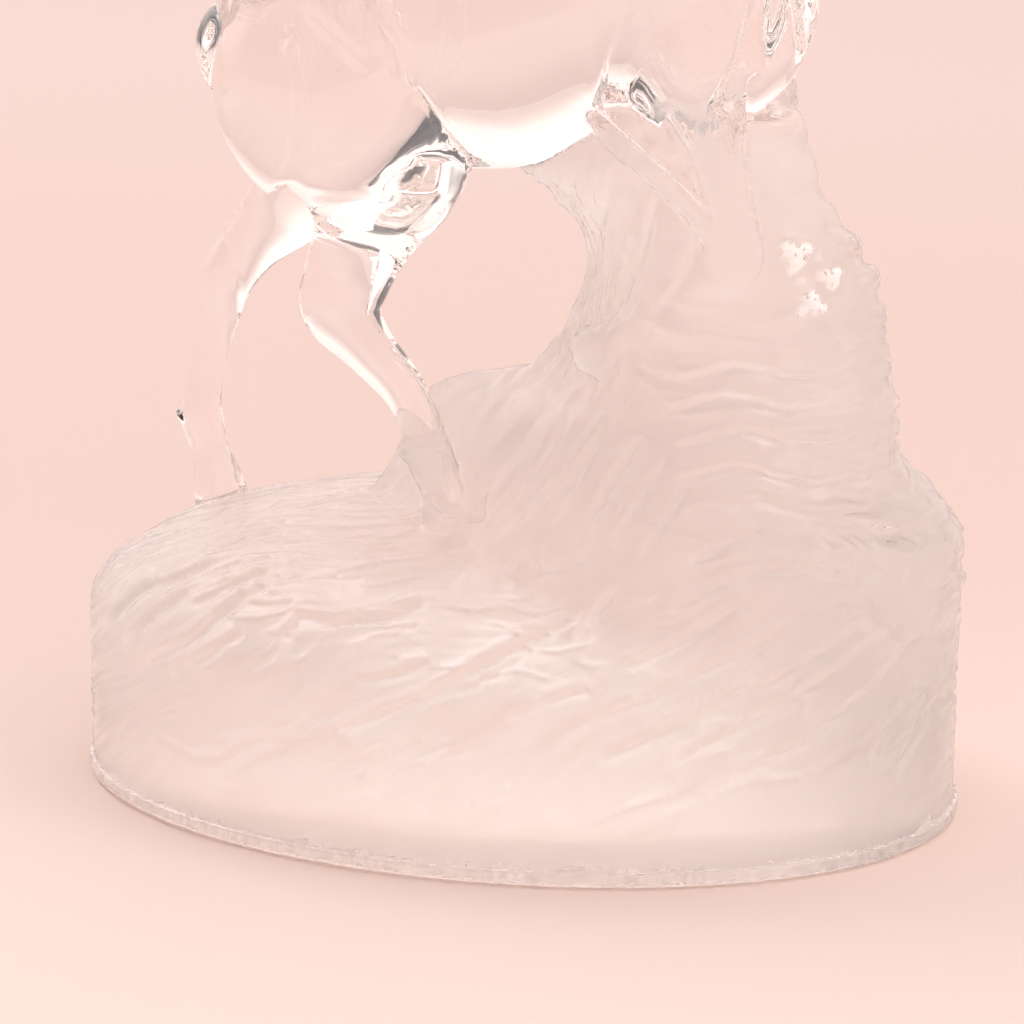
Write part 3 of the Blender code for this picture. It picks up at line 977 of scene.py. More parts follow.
@dataclass
class Relief:
    """The marks in the glass.

    Strands, strata, flutes and lumps in the satin come from a Geometry Nodes tree. Strokes, folds, beads and the
    engraving are drawn, and are pressed into the mesh.
    """

    sight: Sight
    deer: Deer
    strand_depth: float = 0.00044
    fan_depth: float = 0.00080
    strata_depth: float = 0.00070
    flute_depth: float = 0.00060
    bead_depth: float = 0.00060
    seed: float = 4.0
    boldness: float = 1.6
    strokes: tuple[Stroke, ...] = (
        Stroke(((-26.9, -34.1), (-20.6, -32.2), (-13.6, -29.4), (-4.5, -24.0), (9.1, -16.9)), 0.95, 0.75),
        Stroke(((-35.5, -20.0), (-33.1, -16.4), (-28.4, -17.3), (-20.0, -16.6), (-13.6, -14.4)), 0.75, 0.55),
        Stroke(((-0.5, -32.0), (5.2, -30.2), (12.2, -27.8)), 0.80, 0.50),
        Stroke(((-8.6, -28.6), (-2.0, -25.0), (5.2, -20.0)), 0.70, 0.40),
        Stroke(((-24.0, -26.5), (-19.0, -25.8), (-13.0, -23.6)), 0.80, 0.30),
        Stroke(((-63.0, -17.5), (-59.5, -13.5), (-55.0, -10.2)), 0.80, 0.45),
        Stroke(((-60.5, -20.5), (-56.0, -16.0), (-50.5, -12.5)), 0.70, 0.40),
        Stroke(((-56.5, -23.1), (-50.3, -20.0), (-42.5, -13.8), (-37.8, -11.4)), 0.80, 0.50),
        Stroke(((-53.0, -26.0), (-47.5, -22.5), (-42.0, -18.5)), 0.70, 0.35),
        Stroke(((-57.0, -12.5), (-50.0, -9.5), (-42.0, -7.6)), 0.80, 0.40),
        Stroke(((-50.0, -14.6), (-43.0, -11.2), (-36.5, -9.0)), 0.65, 0.35),
        Stroke(((-48.0, -40.3), (-42.5, -37.5), (-37.8, -34.8)), 0.70, 0.22),
        Stroke(((-44.0, -42.0), (-40.0, -39.4), (-36.0, -37.6)), 0.60, 0.16),
        Stroke(((13.8, -38.8), (27.0, -33.5), (42.0, -26.0), (55.0, -18.0)), 1.10, 0.45),
        Stroke(((8.0, -34.5), (22.0, -29.5), (36.0, -22.0), (47.0, -15.0)), 0.95, 0.40),
        Stroke(((24.0, -39.5), (38.0, -33.0), (52.0, -24.5), (61.0, -17.0)), 1.00, 0.40),
        Stroke(((34.0, -42.0), (46.0, -36.0), (57.0, -27.0), (64.0, -18.5)), 0.90, 0.35),
        Stroke(((18.0, -24.5), (27.0, -20.0), (38.0, -13.5)), 0.85, 0.45),
        Stroke(((10.0, -20.5), (14.5, -14.5), (17.0, -12.0)), 0.80, 0.50),
        Stroke(((55.9, -38.8), (60.0, -32.0), (63.8, -26.2)), 0.80, 0.35),
        Stroke(((60.0, -41.0), (63.5, -34.5), (66.0, -29.5)), 0.70, 0.30),
        Stroke(((28.0, -7.5), (34.0, -5.0), (38.8, -2.8)), 0.80, 0.50),
        Stroke(((29.5, -12.5), (38.0, -9.4), (45.0, -8.8), (52.0, -10.5)), 0.80, 0.45),
        Stroke(((2.0, -4.6), (4.5, -9.5), (11.0, -8.0), (13.5, -3.0)), 0.70, 0.45),
        Stroke(((2.5, 4.0), (6.0, 9.5), (9.5, 16.0)), 0.80, 0.45),
        Stroke(((6.5, 0.5), (11.0, 7.5), (15.5, 15.0)), 0.80, 0.50),
        Stroke(((10.5, -3.5), (15.5, 4.0), (20.5, 12.0)), 0.80, 0.55),
        Stroke(((15.5, -5.5), (20.0, 1.5), (24.5, 8.5)), 0.75, 0.50),
        Stroke(((20.0, -7.5), (24.0, -1.5), (27.5, 4.0)), 0.70, 0.45),
        Stroke(((4.5, 33.0), (8.0, 43.0), (9.5, 53.0)), 0.80, 0.45),
        Stroke(((9.0, 30.0), (13.0, 41.0), (15.5, 53.0)), 0.80, 0.45),
        Stroke(((14.0, 28.0), (19.5, 38.0), (23.0, 50.0)), 0.80, 0.40),
        Stroke(((20.0, 27.0), (26.0, 35.0), (30.0, 44.0)), 0.80, 0.35),
        Stroke(((26.0, 20.5), (35.0, 22.5), (45.0, 20.5), (54.0, 22.0)), 0.75, 0.50),
        Stroke(((24.5, 15.5), (33.0, 18.0), (43.0, 15.5), (55.0, 17.0)), 0.75, 0.50),
        Stroke(((26.0, 10.0), (36.0, 12.5), (46.0, 10.0), (58.0, 11.5)), 0.75, 0.50),
        Stroke(((25.0, 4.5), (35.0, 7.0), (47.0, 4.0), (59.0, 5.5)), 0.75, 0.50),
        Stroke(((27.0, -0.5), (38.0, 2.0), (48.0, -1.0), (58.0, 0.5)), 0.75, 0.45),
    )
    folds: tuple[Stroke, ...] = (
        Stroke(((-15.2, 66.5), (-11.3, 60.5), (-6.6, 55.0), (-2.5, 53.6)), 0.70, 0.85, 0.35),
        Stroke(((19.0, 80.0), (13.5, 70.5), (12.5, 62.5), (17.0, 58.5)), 0.90, 0.35, 0.2),
        Stroke(((40.5, 82.0), (37.5, 71.0), (33.0, 62.0)), 2.10, 1.50, 0.3),
        Stroke(((43.5, 80.0), (45.0, 72.0), (43.0, 65.0)), 0.70, 0.60, 0.3),
        Stroke(((-33.0, 79.0), (-26.5, 73.0), (-22.0, 69.0)), 1.10, 0.50, 0.2),
        Stroke(((-19.5, 35.5), (-17.5, 30.0), (-13.0, 25.0), (-10.0, 18.5)), 0.55, 0.35, 0.3),
        Stroke(((-10.4, 10.9), (-9.9, 5.5), (-9.3, 1.8)), 0.45, 0.45, 0.1),
        Stroke(((-45.5, 44.0), (-43.0, 36.0), (-42.5, 27.0)), 0.50, 0.25, 0.2),
        Stroke(((12.2, 62.6), (18.5, 57.5), (25.5, 51.0), (31.2, 45.6)), 0.55, 0.60, 0.4),
        Stroke(((24.2, 61.8), (28.0, 55.5), (31.2, 45.6)), 0.55, 0.50, 0.4),
        Stroke(((-14.0, 3.2), (-10.5, -1.4), (-5.2, -0.8), (-4.0, 3.4)), 0.50, 0.60, 0.5),
    )
    beads: tuple[Bead, ...] = (
        Bead((44.2, 40.0), 3.3, 0.8, 0.9, 1.0),
        Bead((46.9, 32.4), 2.7, 0.7, 0.9, 1.0),
        Bead((49.8, 36.4), 2.3, 0.6, 0.9, 1.0),
        Bead((53.4, 42.0), 2.6, 0.7, 0.4),
        Bead((55.6, 37.0), 2.4, 0.7, 0.3),
        Bead((55.8, 31.0), 2.6, 0.7, 0.3),
        Bead((57.4, 25.2), 2.4, 0.6, 0.2),
        Bead((52.5, 27.0), 2.2, 0.5, 0.2),
        Bead((59.0, 17.5), 2.3, 0.5),
        Bead((-9.8, 1.8), 4.2, 1.1),
        Bead((54.5, -15.5), 3.2, 0.9, 0.2),
        Bead((58.5, -19.5), 2.4, 0.7, 0.2),
        Bead((66.5, -5.0), 2.4, 0.7, 0.2),
        Bead((69.0, -10.5), 2.2, 0.6, 0.2),
    )

    marks: tuple[Mark, ...] = (
        Mark(((0.560, 0.056, 1.534),), 0.030, -0.70),
        Mark(((0.553, 0.058, 1.535), (0.567, 0.058, 1.532)), 0.011, 1.10, 0.9),
        Mark(((0.534, 0.058, 1.538), (0.556, 0.056, 1.557), (0.586, 0.054, 1.540)), 0.007, 0.40, 0.5),
        Mark(((0.590, 0.048, 1.515), (0.635, 0.046, 1.498), (0.680, 0.038, 1.480)), 0.012, -0.30),
        Mark(((0.748, 0.018, 1.452),), 0.010, -0.70, 0.9),
        Mark(
            ((0.760, 0.004, 1.427), (0.725, 0.030, 1.427), (0.680, 0.040, 1.442), (0.655, 0.042, 1.455)),
            0.006,
            -0.50,
            0.8,
        ),
        Mark(((0.495, 0.066, 1.586), (0.462, 0.104, 1.614), (0.438, 0.130, 1.622)), 0.013, -0.60, 0.8),
        Mark(((0.516, 0.034, 1.578),), 0.024, 0.45),
        Mark(((0.500, 0.048, 1.625),), 0.012, 0.20),
        Mark(((0.470, 0.064, 1.500), (0.440, 0.078, 1.440), (0.420, 0.086, 1.370)), 0.016, -0.30),
        Mark(((0.405, 0.060, 1.150), (0.400, 0.075, 1.070), (0.375, 0.085, 1.010)), 0.018, -0.45),
        Mark(((0.130, 0.150, 1.090), (0.150, 0.158, 1.010), (0.170, 0.155, 0.920)), 0.022, -0.40),
        Mark(((-0.130, 0.150, 1.000), (-0.150, 0.150, 0.900), (-0.175, 0.140, 0.820)), 0.022, -0.40),
    )
    elbow: tuple[Flat, ...] = ((12.2, 62.6), (24.2, 61.8), (29.5, 52.0), (31.2, 45.6), (25.5, 51.0))
    shank: tuple[Spot, ...] = ((-0.022, -0.020, 0.030), (0.002, -0.007, 0.0560))
    shank_blend: float = 0.006
    thin_etch: tuple[Flat, Flat, float] = ((57.0, -2.5), (11.0, 5.5), 0.45)
    rim_polish: float = 0.65
    rim_rise: Flat = (0.0004, 0.0008)
    rim_fall: Flat = (0.0024, 0.0031)
    near_side: Flat = (0.05, 0.35)

    def sizes(self) -> dict[str, float]:
        """Lists the tree's inputs.

        Returns:
            Each input's value by its name.
        """
        return {
            "Strand Depth": self.strand_depth,
            "Fan Depth": self.fan_depth,
            "Strata Depth": self.strata_depth,
            "Flute Depth": self.flute_depth,
            "Bead Depth": self.bead_depth,
            "Seed": self.seed,
        }

    def tree(self, material: bpy.types.Material) -> bpy.types.NodeTree:
        """Builds the tree.

        Args:
            material: What the figurine is made of.

        Returns:
            A tree with a named input for each depth.
        """
        group = bpy.data.node_groups.new("flow_relief", "GeometryNodeTree")
        face = group.interface
        face.new_socket("Geometry", in_out="INPUT", socket_type="NodeSocketGeometry")
        for name in self.sizes():
            face.new_socket(name, in_out="INPUT", socket_type="NodeSocketFloat")
        face.new_socket("Geometry", in_out="OUTPUT", socket_type="NodeSocketGeometry")
        tree = Tree(group)
        entry = tree.node("NodeGroupInput", {}, {})
        depth = {socket.name: Channel(tree, socket) for socket in entry.outputs if socket.name}
        position = tree.node("GeometryNodeInputPosition", {}, {}).outputs[0]
        x, y, z = (part * PER_METRE for part in tree.parts(position))
        normal = tree.node("GeometryNodeInputNormal", {}, {})
        upward = tree.parts(normal.outputs[0])[2]
        frost = tree.add("GeometryNodeInputNamedAttribute", {"data_type": "FLOAT"}, {"Name": "frost"}, "Attribute")
        u, v = self.sight.plane(x, y, z)
        relief = self._strands(tree, x, y, z, u, v, upward, depth["Seed"]) * depth["Strand Depth"]
        for marks, size in (
            (self._fan, "Fan Depth"),
            (self._strata, "Strata Depth"),
            (self._flutes, "Flute Depth"),
            (self._lumps, "Bead Depth"),
        ):
            relief = relief + marks(tree, x, y, z, depth["Seed"]) * depth[size]
        relief = relief * frost * z.ramp(2.5, 5.0)
        offset = tree.node("ShaderNodeVectorMath", {"operation": "SCALE"}, {0: normal.outputs[0], "Scale": relief})
        moved = tree.node(
            "GeometryNodeSetPosition", {}, {"Geometry": entry.outputs["Geometry"], "Offset": offset.outputs[0]}
        )
        real = tree.node("GeometryNodeRealizeInstances", {}, {"Geometry": moved.outputs[0]})
        dressed = tree.node("GeometryNodeSetMaterial", {}, {"Geometry": real.outputs[0], "Material": material})
        tree.node("NodeGroupOutput", {}, {"Geometry": dressed.outputs[0]})
        return group

    def _flow(self, tree: Tree, u: Channel, v: Channel, other: Channel, slant: float, seed: Channel) -> Channel:
        """Long strands that run at a slant over a plane, some with a crest.

        Args:
            tree: The tree that is built.
            u: Millimetres across the plane.
            v: Millimetres up the plane.
            other: Millimetres off the plane.
            slant: The strands' angle in degrees.
            seed: Which of many like patterns it is.

        Returns:
            Strands around 0.
        """
        turn = math.radians(slant)
        wave = (tree.noise(tree.vector(u * 0.035, v * 0.05, other * 0.02), 1.0, seed + 31.0) - 0.5) * 14.0
        along = u * math.cos(turn) + v * math.sin(turn)
        across = v * math.cos(turn) - u * math.sin(turn) + wave
        grain = tree.noise(tree.vector(along * 0.055, across * 0.42, other * 0.05), 2.0, seed)
        crest = tree.noise(tree.vector(along * 0.075, across * 0.30, other * 0.04), 1.0, seed + 5.0)
        crest = 1 - ((crest - 0.5).size() * 14.0).ramp(0.0, 1.0)
        patch = tree.noise(tree.vector(u * 0.05, v * 0.07, other * 0.03), 1.0, seed + 9.0).ramp(0.36, 0.60)
        return ((grain - 0.5) * 2.2 + crest * 0.9) * (patch * 0.75 + 0.25)

    def _strands(
        self, tree: Tree, x: Channel, y: Channel, z: Channel, u: Channel, v: Channel, upward: Channel, seed: Channel
    ) -> Channel:
        """Slanted strands that climb the wall, steeper at the right end, and run on over the dome.

        Args:
            tree: The tree that is built.
            x: Millimetres along the piece.
            y: Millimetres across it.
            z: Millimetres up it.
            u: Millimetres across the drawing plane.
            v: Millimetres up the drawing plane.
            upward: How much the skin faces up.
            seed: Which of many like patterns it is.

        Returns:
            Strands around 0.
        """
        wall = self._flow(tree, u, v, y * 0.3, 27.0, seed)
        end = self._flow(tree, u, v, y * 0.3, 55.0, seed + 2.0)
        share = u.ramp(46.0, 60.0)
        wall = wall * (1 - share) + end * share
        top = self._flow(tree, x, y, z, 6.0, seed + 3.0)
        share = upward.ramp(0.35, 0.85)
        mixed = wall * (1 - share) + top * share
        calm = z.ramp(4.0, 24.0) * 0.75 + 0.25
        return mixed * calm * (1 - z.ramp(48.0, 58.0))

    def _fan(self, tree: Tree, x: Channel, y: Channel, z: Channel, seed: Channel) -> Channel:
        """Steep slanted strands below the folded foreleg."""
        across = (x - 10.0) * -0.82 + (z - 55.0) * 0.57
        along = (x - 10.0) * 0.57 + (z - 55.0) * 0.82
        grain = (tree.noise(tree.vector(across * 0.42, along * 0.10, y * 0.08), 1.5, seed + 7.0) - 0.5) * 2.6
        return grain * x.band(-8.0, 0.0, 20.0, 30.0) * z.band(38.0, 46.0, 70.0, 78.0)

    def _strata(self, tree: Tree, x: Channel, y: Channel, z: Channel, seed: Channel) -> Channel:
        """Level scalloped beds on the rock's right end."""
        wave = (tree.noise(tree.vector(x * 0.10, y * 0.10, z * 0.05), 1.0, seed + 13.0) - 0.5) * 2.4
        level = z * 0.40 + x * 0.03 + wave
        grain = (tree.noise(tree.vector(x * 0.06, y * 0.06, level), 1.5, seed + 11.0) - 0.5) * 2.8
        return grain * x.band(16.0, 26.0, 90.0, 99.0) * z.band(44.0, 50.0, 84.0, 92.0)

    def _flutes(self, tree: Tree, x: Channel, y: Channel, z: Channel, seed: Channel) -> Channel:
        """Upright flutes that fan out on the column under the belly."""
        spread = (x - 6.0) / (1.0 + (z - 70.0) * 0.012)
        grain = (tree.noise(tree.vector(spread * 0.60, y * 0.45, z * 0.05), 1.0, seed + 17.0) - 0.5) * 2.6
        return grain * x.band(-30.0, -6.0, 20.0, 32.0) * z.band(66.0, 74.0, 104.0, 109.0)

    def _lumps(self, tree: Tree, x: Channel, y: Channel, z: Channel, seed: Channel) -> Channel:
        """Rounded lumps down the rock's right edge."""
        grain = (tree.noise(tree.vector(x * 0.22, y * 0.22, z * 0.26), 0.0, seed + 23.0) - 0.45) * 3.0
        return grain * x.band(38.0, 46.0, 99.0, 100.0) * z.band(40.0, 60.0, 94.0, 102.0)

    def press(self, mesh: bpy.types.Mesh) -> None:
        """Presses the drawn strokes, folds, beads and engraving into the mesh, the strokes on both sides.

        Args:
            mesh: The figurine's mesh, in metres, with its frost attribute.
        """
        points, normals, frost = places(mesh), facings(mesh), read_layer(mesh, "frost")
        back = np.array(self.sight.axes()[2])
        flat = self.sight.drawn(points)
        facing = normals @ back
        shift = np.zeros(len(points))
        for stroke, mask in [(stroke, frost) for stroke in self.strokes] + [(fold, 1.0) for fold in self.folds]:
            shift += stroke.shift(flat) * mask * self.boldness
        shift *= soft_step(facing, *self.near_side)
        for bead in self.beads:
            shift += bead.height * bead.share(flat) * soft_step(facing, -0.4, 0.1)
        turned = np.array((1.0, -1.0, 1.0))
        flat = self.sight.drawn(points * turned)
        far = soft_step((normals * turned) @ back, *self.near_side)
        far *= soft_step(points[:, 1], -0.002, 0.004)
        for stroke in self.strokes:
            shift += stroke.shift(flat) * frost * far
        shares = self.deer.shares(points)
        for mark in self.marks:
            shift += mark.height * mark.share(shares) * (1 - frost)
        points += normals * (shift * MILLIMETRE)[:, None]
        mesh.vertices.foreach_set("co", points.ravel())
        mesh.update()

    def polish(self, mesh: bpy.types.Mesh) -> None:
        """Clears the beads, the elbow and the foot's rim, and etches the engraving and the shank in the rock.

        Args:
            mesh: The figurine's mesh, in metres, with its frost attribute.
        """
        points, normals, frost = places(mesh), facings(mesh), read_layer(mesh, "frost")
        facing = normals @ np.array(self.sight.axes()[2])
        flat = self.sight.drawn(points)
        low, high = np.array(self.shank[0]), np.array(self.shank[1])
        outside = np.linalg.norm(np.maximum(0.0, np.maximum(low - points, points - high)), axis=1)
        frost = np.maximum(frost, 1 - soft_step(outside, 0.0, self.shank_blend))
        for bead in self.beads:
            frost *= 1 - bead.polish * np.clip(1.6 * bead.share(flat), 0.0, 1.0)
        middle, spread, depth = self.thin_etch
        away = np.linalg.norm((flat - np.array(middle)) / np.array(spread), axis=1)
        frost *= 1 - depth * (1 - soft_step(away, 0.3, 1.2)) * soft_step(facing, 0.0, 0.2)
        shares = self.deer.shares(points)
        for mark in self.marks:
            frost = np.maximum(frost, mark.etch * soft_step(mark.share(shares), 0.30, 0.60))
        inside = np.full(len(points), 9.0)
        corners = np.array(self.elbow)
        for start, end in zip(corners, np.roll(corners, -1, axis=0)):
            run = (end - start) / np.linalg.norm(end - start)
            inside = np.minimum(inside, (flat - start) @ np.array([run[1], -run[0]]))
        frost *= 1 - soft_step(inside, -0.4, 0.8) * soft_step(facing, 0.0, 0.2)
        rim = soft_step(points[:, 2], *self.rim_rise) * (1 - soft_step(points[:, 2], *self.rim_fall))
        frost *= 1 - self.rim_polish * rim
        write_layer(mesh, "frost", frost)
        # Painted highlights: white flakes on the beads, where the lamps glare.
        white = np.zeros(len(points))
        for bead in self.beads:
            white = np.maximum(white, bead.painted_highlight(flat) * soft_step(facing, -0.2, 0.1))
        write_layer(mesh, "painted_highlight", white)
        # Painted highlight lines along the grooves' lower edges.
        glint = np.zeros(len(points))
        for stroke in self.strokes:
            glint = np.maximum(glint, stroke.glint(flat) * frost * soft_step(facing, *self.near_side))
        write_layer(mesh, "glint", glint)
        write_layer(mesh, "upward", normals[:, 2].copy())


@dataclass(frozen=True)
class CrystalFinish:
    """Pressed lead glass: fire-polished on the deer, satin etched on the rock and base."""

    sight: Sight
    colour: Colour = (1.0, 0.988, 0.982, 1.0)
    # Painted reflection of the pink table: the glass is pinker and darker at the bottom of the wall, fully below the
    # first height in millimetres and gone above the second.
    painted_table_heights: Flat = (6.0, 26.0)
    painted_table_tint: Colour = (0.985, 0.885, 0.845, 1.0)
    index: float = 1.53
    fine_roughness: float = 0.43
    coarse_roughness: float = 0.95
    coat_roughness: float = 0.12
    coat: float = 0.8
    etched: Colour = (0.995, 0.985, 0.980, 1.0)
    etched_roughness: float = 0.45
    etched_share: float = 0.06
    # Shares of white satin that paint highlights on the beads and along the grooves' lower edges.
    painted_highlight_share: float = 0.94
    glint_share: float = 0.55

    def brush(self, tree: Tree, u: Channel, v: Channel, other: Channel, slant: float) -> Channel:
        """Fine strokes that run at a slant over a plane.

        Args:
            tree: The material's tree.
            u: Millimetres across the plane.
            v: Millimetres up the plane.
            other: Millimetres off the plane.
            slant: The strokes' angle in degrees.

        Returns:
            Strokes from 0 to 1.
        """
        turn = math.radians(slant)
        wave = (tree.noise(tree.vector(u * 0.05, v * 0.07, other * 0.03), 1.0, slant) - 0.5) * 12.0
        along = u * math.cos(turn) + v * math.sin(turn)
        across = v * math.cos(turn) - u * math.sin(turn) + wave
        return tree.noise(tree.vector(along * 0.11, across * 0.85, other * 0.20), 3.0, slant + 1.0)

    def strokes(self, tree: Tree, x: Channel, y: Channel, z: Channel) -> Channel:
        """The strokes in the etch: along the top, slanted on the wall, fanned and level on the rock.

        Args:
            tree: The material's tree.
            x: Millimetres along the piece.
            y: Millimetres across it.
            z: Millimetres up it.

        Returns:
            Strokes from 0 to 1.
        """
        u, v = self.sight.plane(x, y, z)
        upward = tree.attribute("upward")
        mixed = self.brush(tree, u, v, y * 0.3, 27.0)
        layers = (
            (self.brush(tree, u, v, y * 0.3, 56.0), u.ramp(44.0, 58.0)),
            (self.brush(tree, x, y, z, 6.0), upward.ramp(0.35, 0.85)),
            (self.brush(tree, u, v, y * 0.3, 52.0), x.band(-8.0, 0.0, 22.0, 32.0) * z.ramp(38.0, 46.0)),
            (self.brush(tree, u, v, y * 0.3, -4.0), x.ramp(20.0, 32.0) * z.ramp(44.0, 50.0)),
            (self.brush(tree, u, v, y * 0.3, 70.0), x.band(-40.0, -20.0, 26.0, 40.0) * z.ramp(66.0, 76.0)),
        )
        for layer, share in layers:
            mixed = mixed * (1 - share) + layer * share
        return mixed.ramp(0.36, 0.64)

    def material(self) -> bpy.types.Material:
        """Makes the material, whose satin follows the mesh's frost attribute.

        Returns:
            The material.
        """
        made = bpy.data.materials.new("crystal")
        tree = empty_tree(made)
        frost = tree.attribute("frost")
        x, y, z = (part * PER_METRE for part in tree.place())
        span = self.coarse_roughness - self.fine_roughness
        rough = frost * (self.strokes(tree, x, y, z) * span + self.fine_roughness) * (z.ramp(2.0, 26.0) * 0.3 + 0.7)
        # Painted table reflection: the glass colour turns pinker towards the bottom of the wall.
        glass_with_painted_table = tree.blend(z.ramp(*self.painted_table_heights), self.painted_table_tint, self.colour)
        shader = tree.node(
            "ShaderNodeBsdfPrincipled",
            {"distribution": "MULTI_GGX"},
            {
                "Base Color": glass_with_painted_table,
                "Roughness": rough,
                "IOR": self.index,
                "Transmission Weight": 1.0,
                "Coat Weight": frost * self.coat,
                "Coat Roughness": self.coat_roughness,
            },
        )
        satin = {"Base Color": self.etched, "Roughness": self.etched_roughness, "IOR": self.index}
        etch = tree.node("ShaderNodeBsdfPrincipled", {}, satin)
        # Painted highlights: white satin is mixed in on the beads' flakes and along the grooves' lower edges.
        painted_highlight, glint = tree.attribute("painted_highlight"), tree.attribute("glint")
        share = frost * self.etched_share + painted_highlight.ramp(0.35, 0.60) * self.painted_highlight_share
        # Painted highlight lines along the grooves: more white satin.
        share = share + glint.ramp(0.20, 0.75) * self.glint_share
        mixed = tree.node("ShaderNodeMixShader", {}, {0: share, 1: shader.outputs[0], 2: etch.outputs[0]})
        tree.node("ShaderNodeOutputMaterial", {}, {"Surface": mixed.outputs[0]})
        return made


@dataclass(frozen=True)
class TableFinish:
    """A pale matt table top, with painted light and shade across it."""

    near: Colour = (0.90, 0.765, 0.710, 1.0)
    middle: Colour = (0.78, 0.625, 0.585, 1.0)
    far: Colour = (0.80, 0.665, 0.640, 1.0)
    near_band: Flat = (-0.12, 0.14)
    far_band: Flat = (0.22, 0.48)
    roughness: float = 0.8
    shine: float = 0.1

    def material(self) -> bpy.types.Material:
        """Makes the material, with painted light and shade: a little lighter towards the front and far away.

        Returns:
            The material.
        """
        made = bpy.data.materials.new("pale_table")
        tree = empty_tree(made)
        depth = tree.place()[1]
        # Painted light and shade: lighter at the front and far away, darker in between.
        colour = tree.blend(depth.ramp(*self.near_band), self.near, self.middle)
        colour = tree.blend(depth.ramp(*self.far_band), colour, self.far)
        matt = {"Base Color": colour, "Roughness": self.roughness, "Specular IOR Level": self.shine}
        shader = tree.node("ShaderNodeBsdfPrincipled", {}, matt)
        tree.node("ShaderNodeOutputMaterial", {}, {"Surface": shader.outputs[0]})
        return made


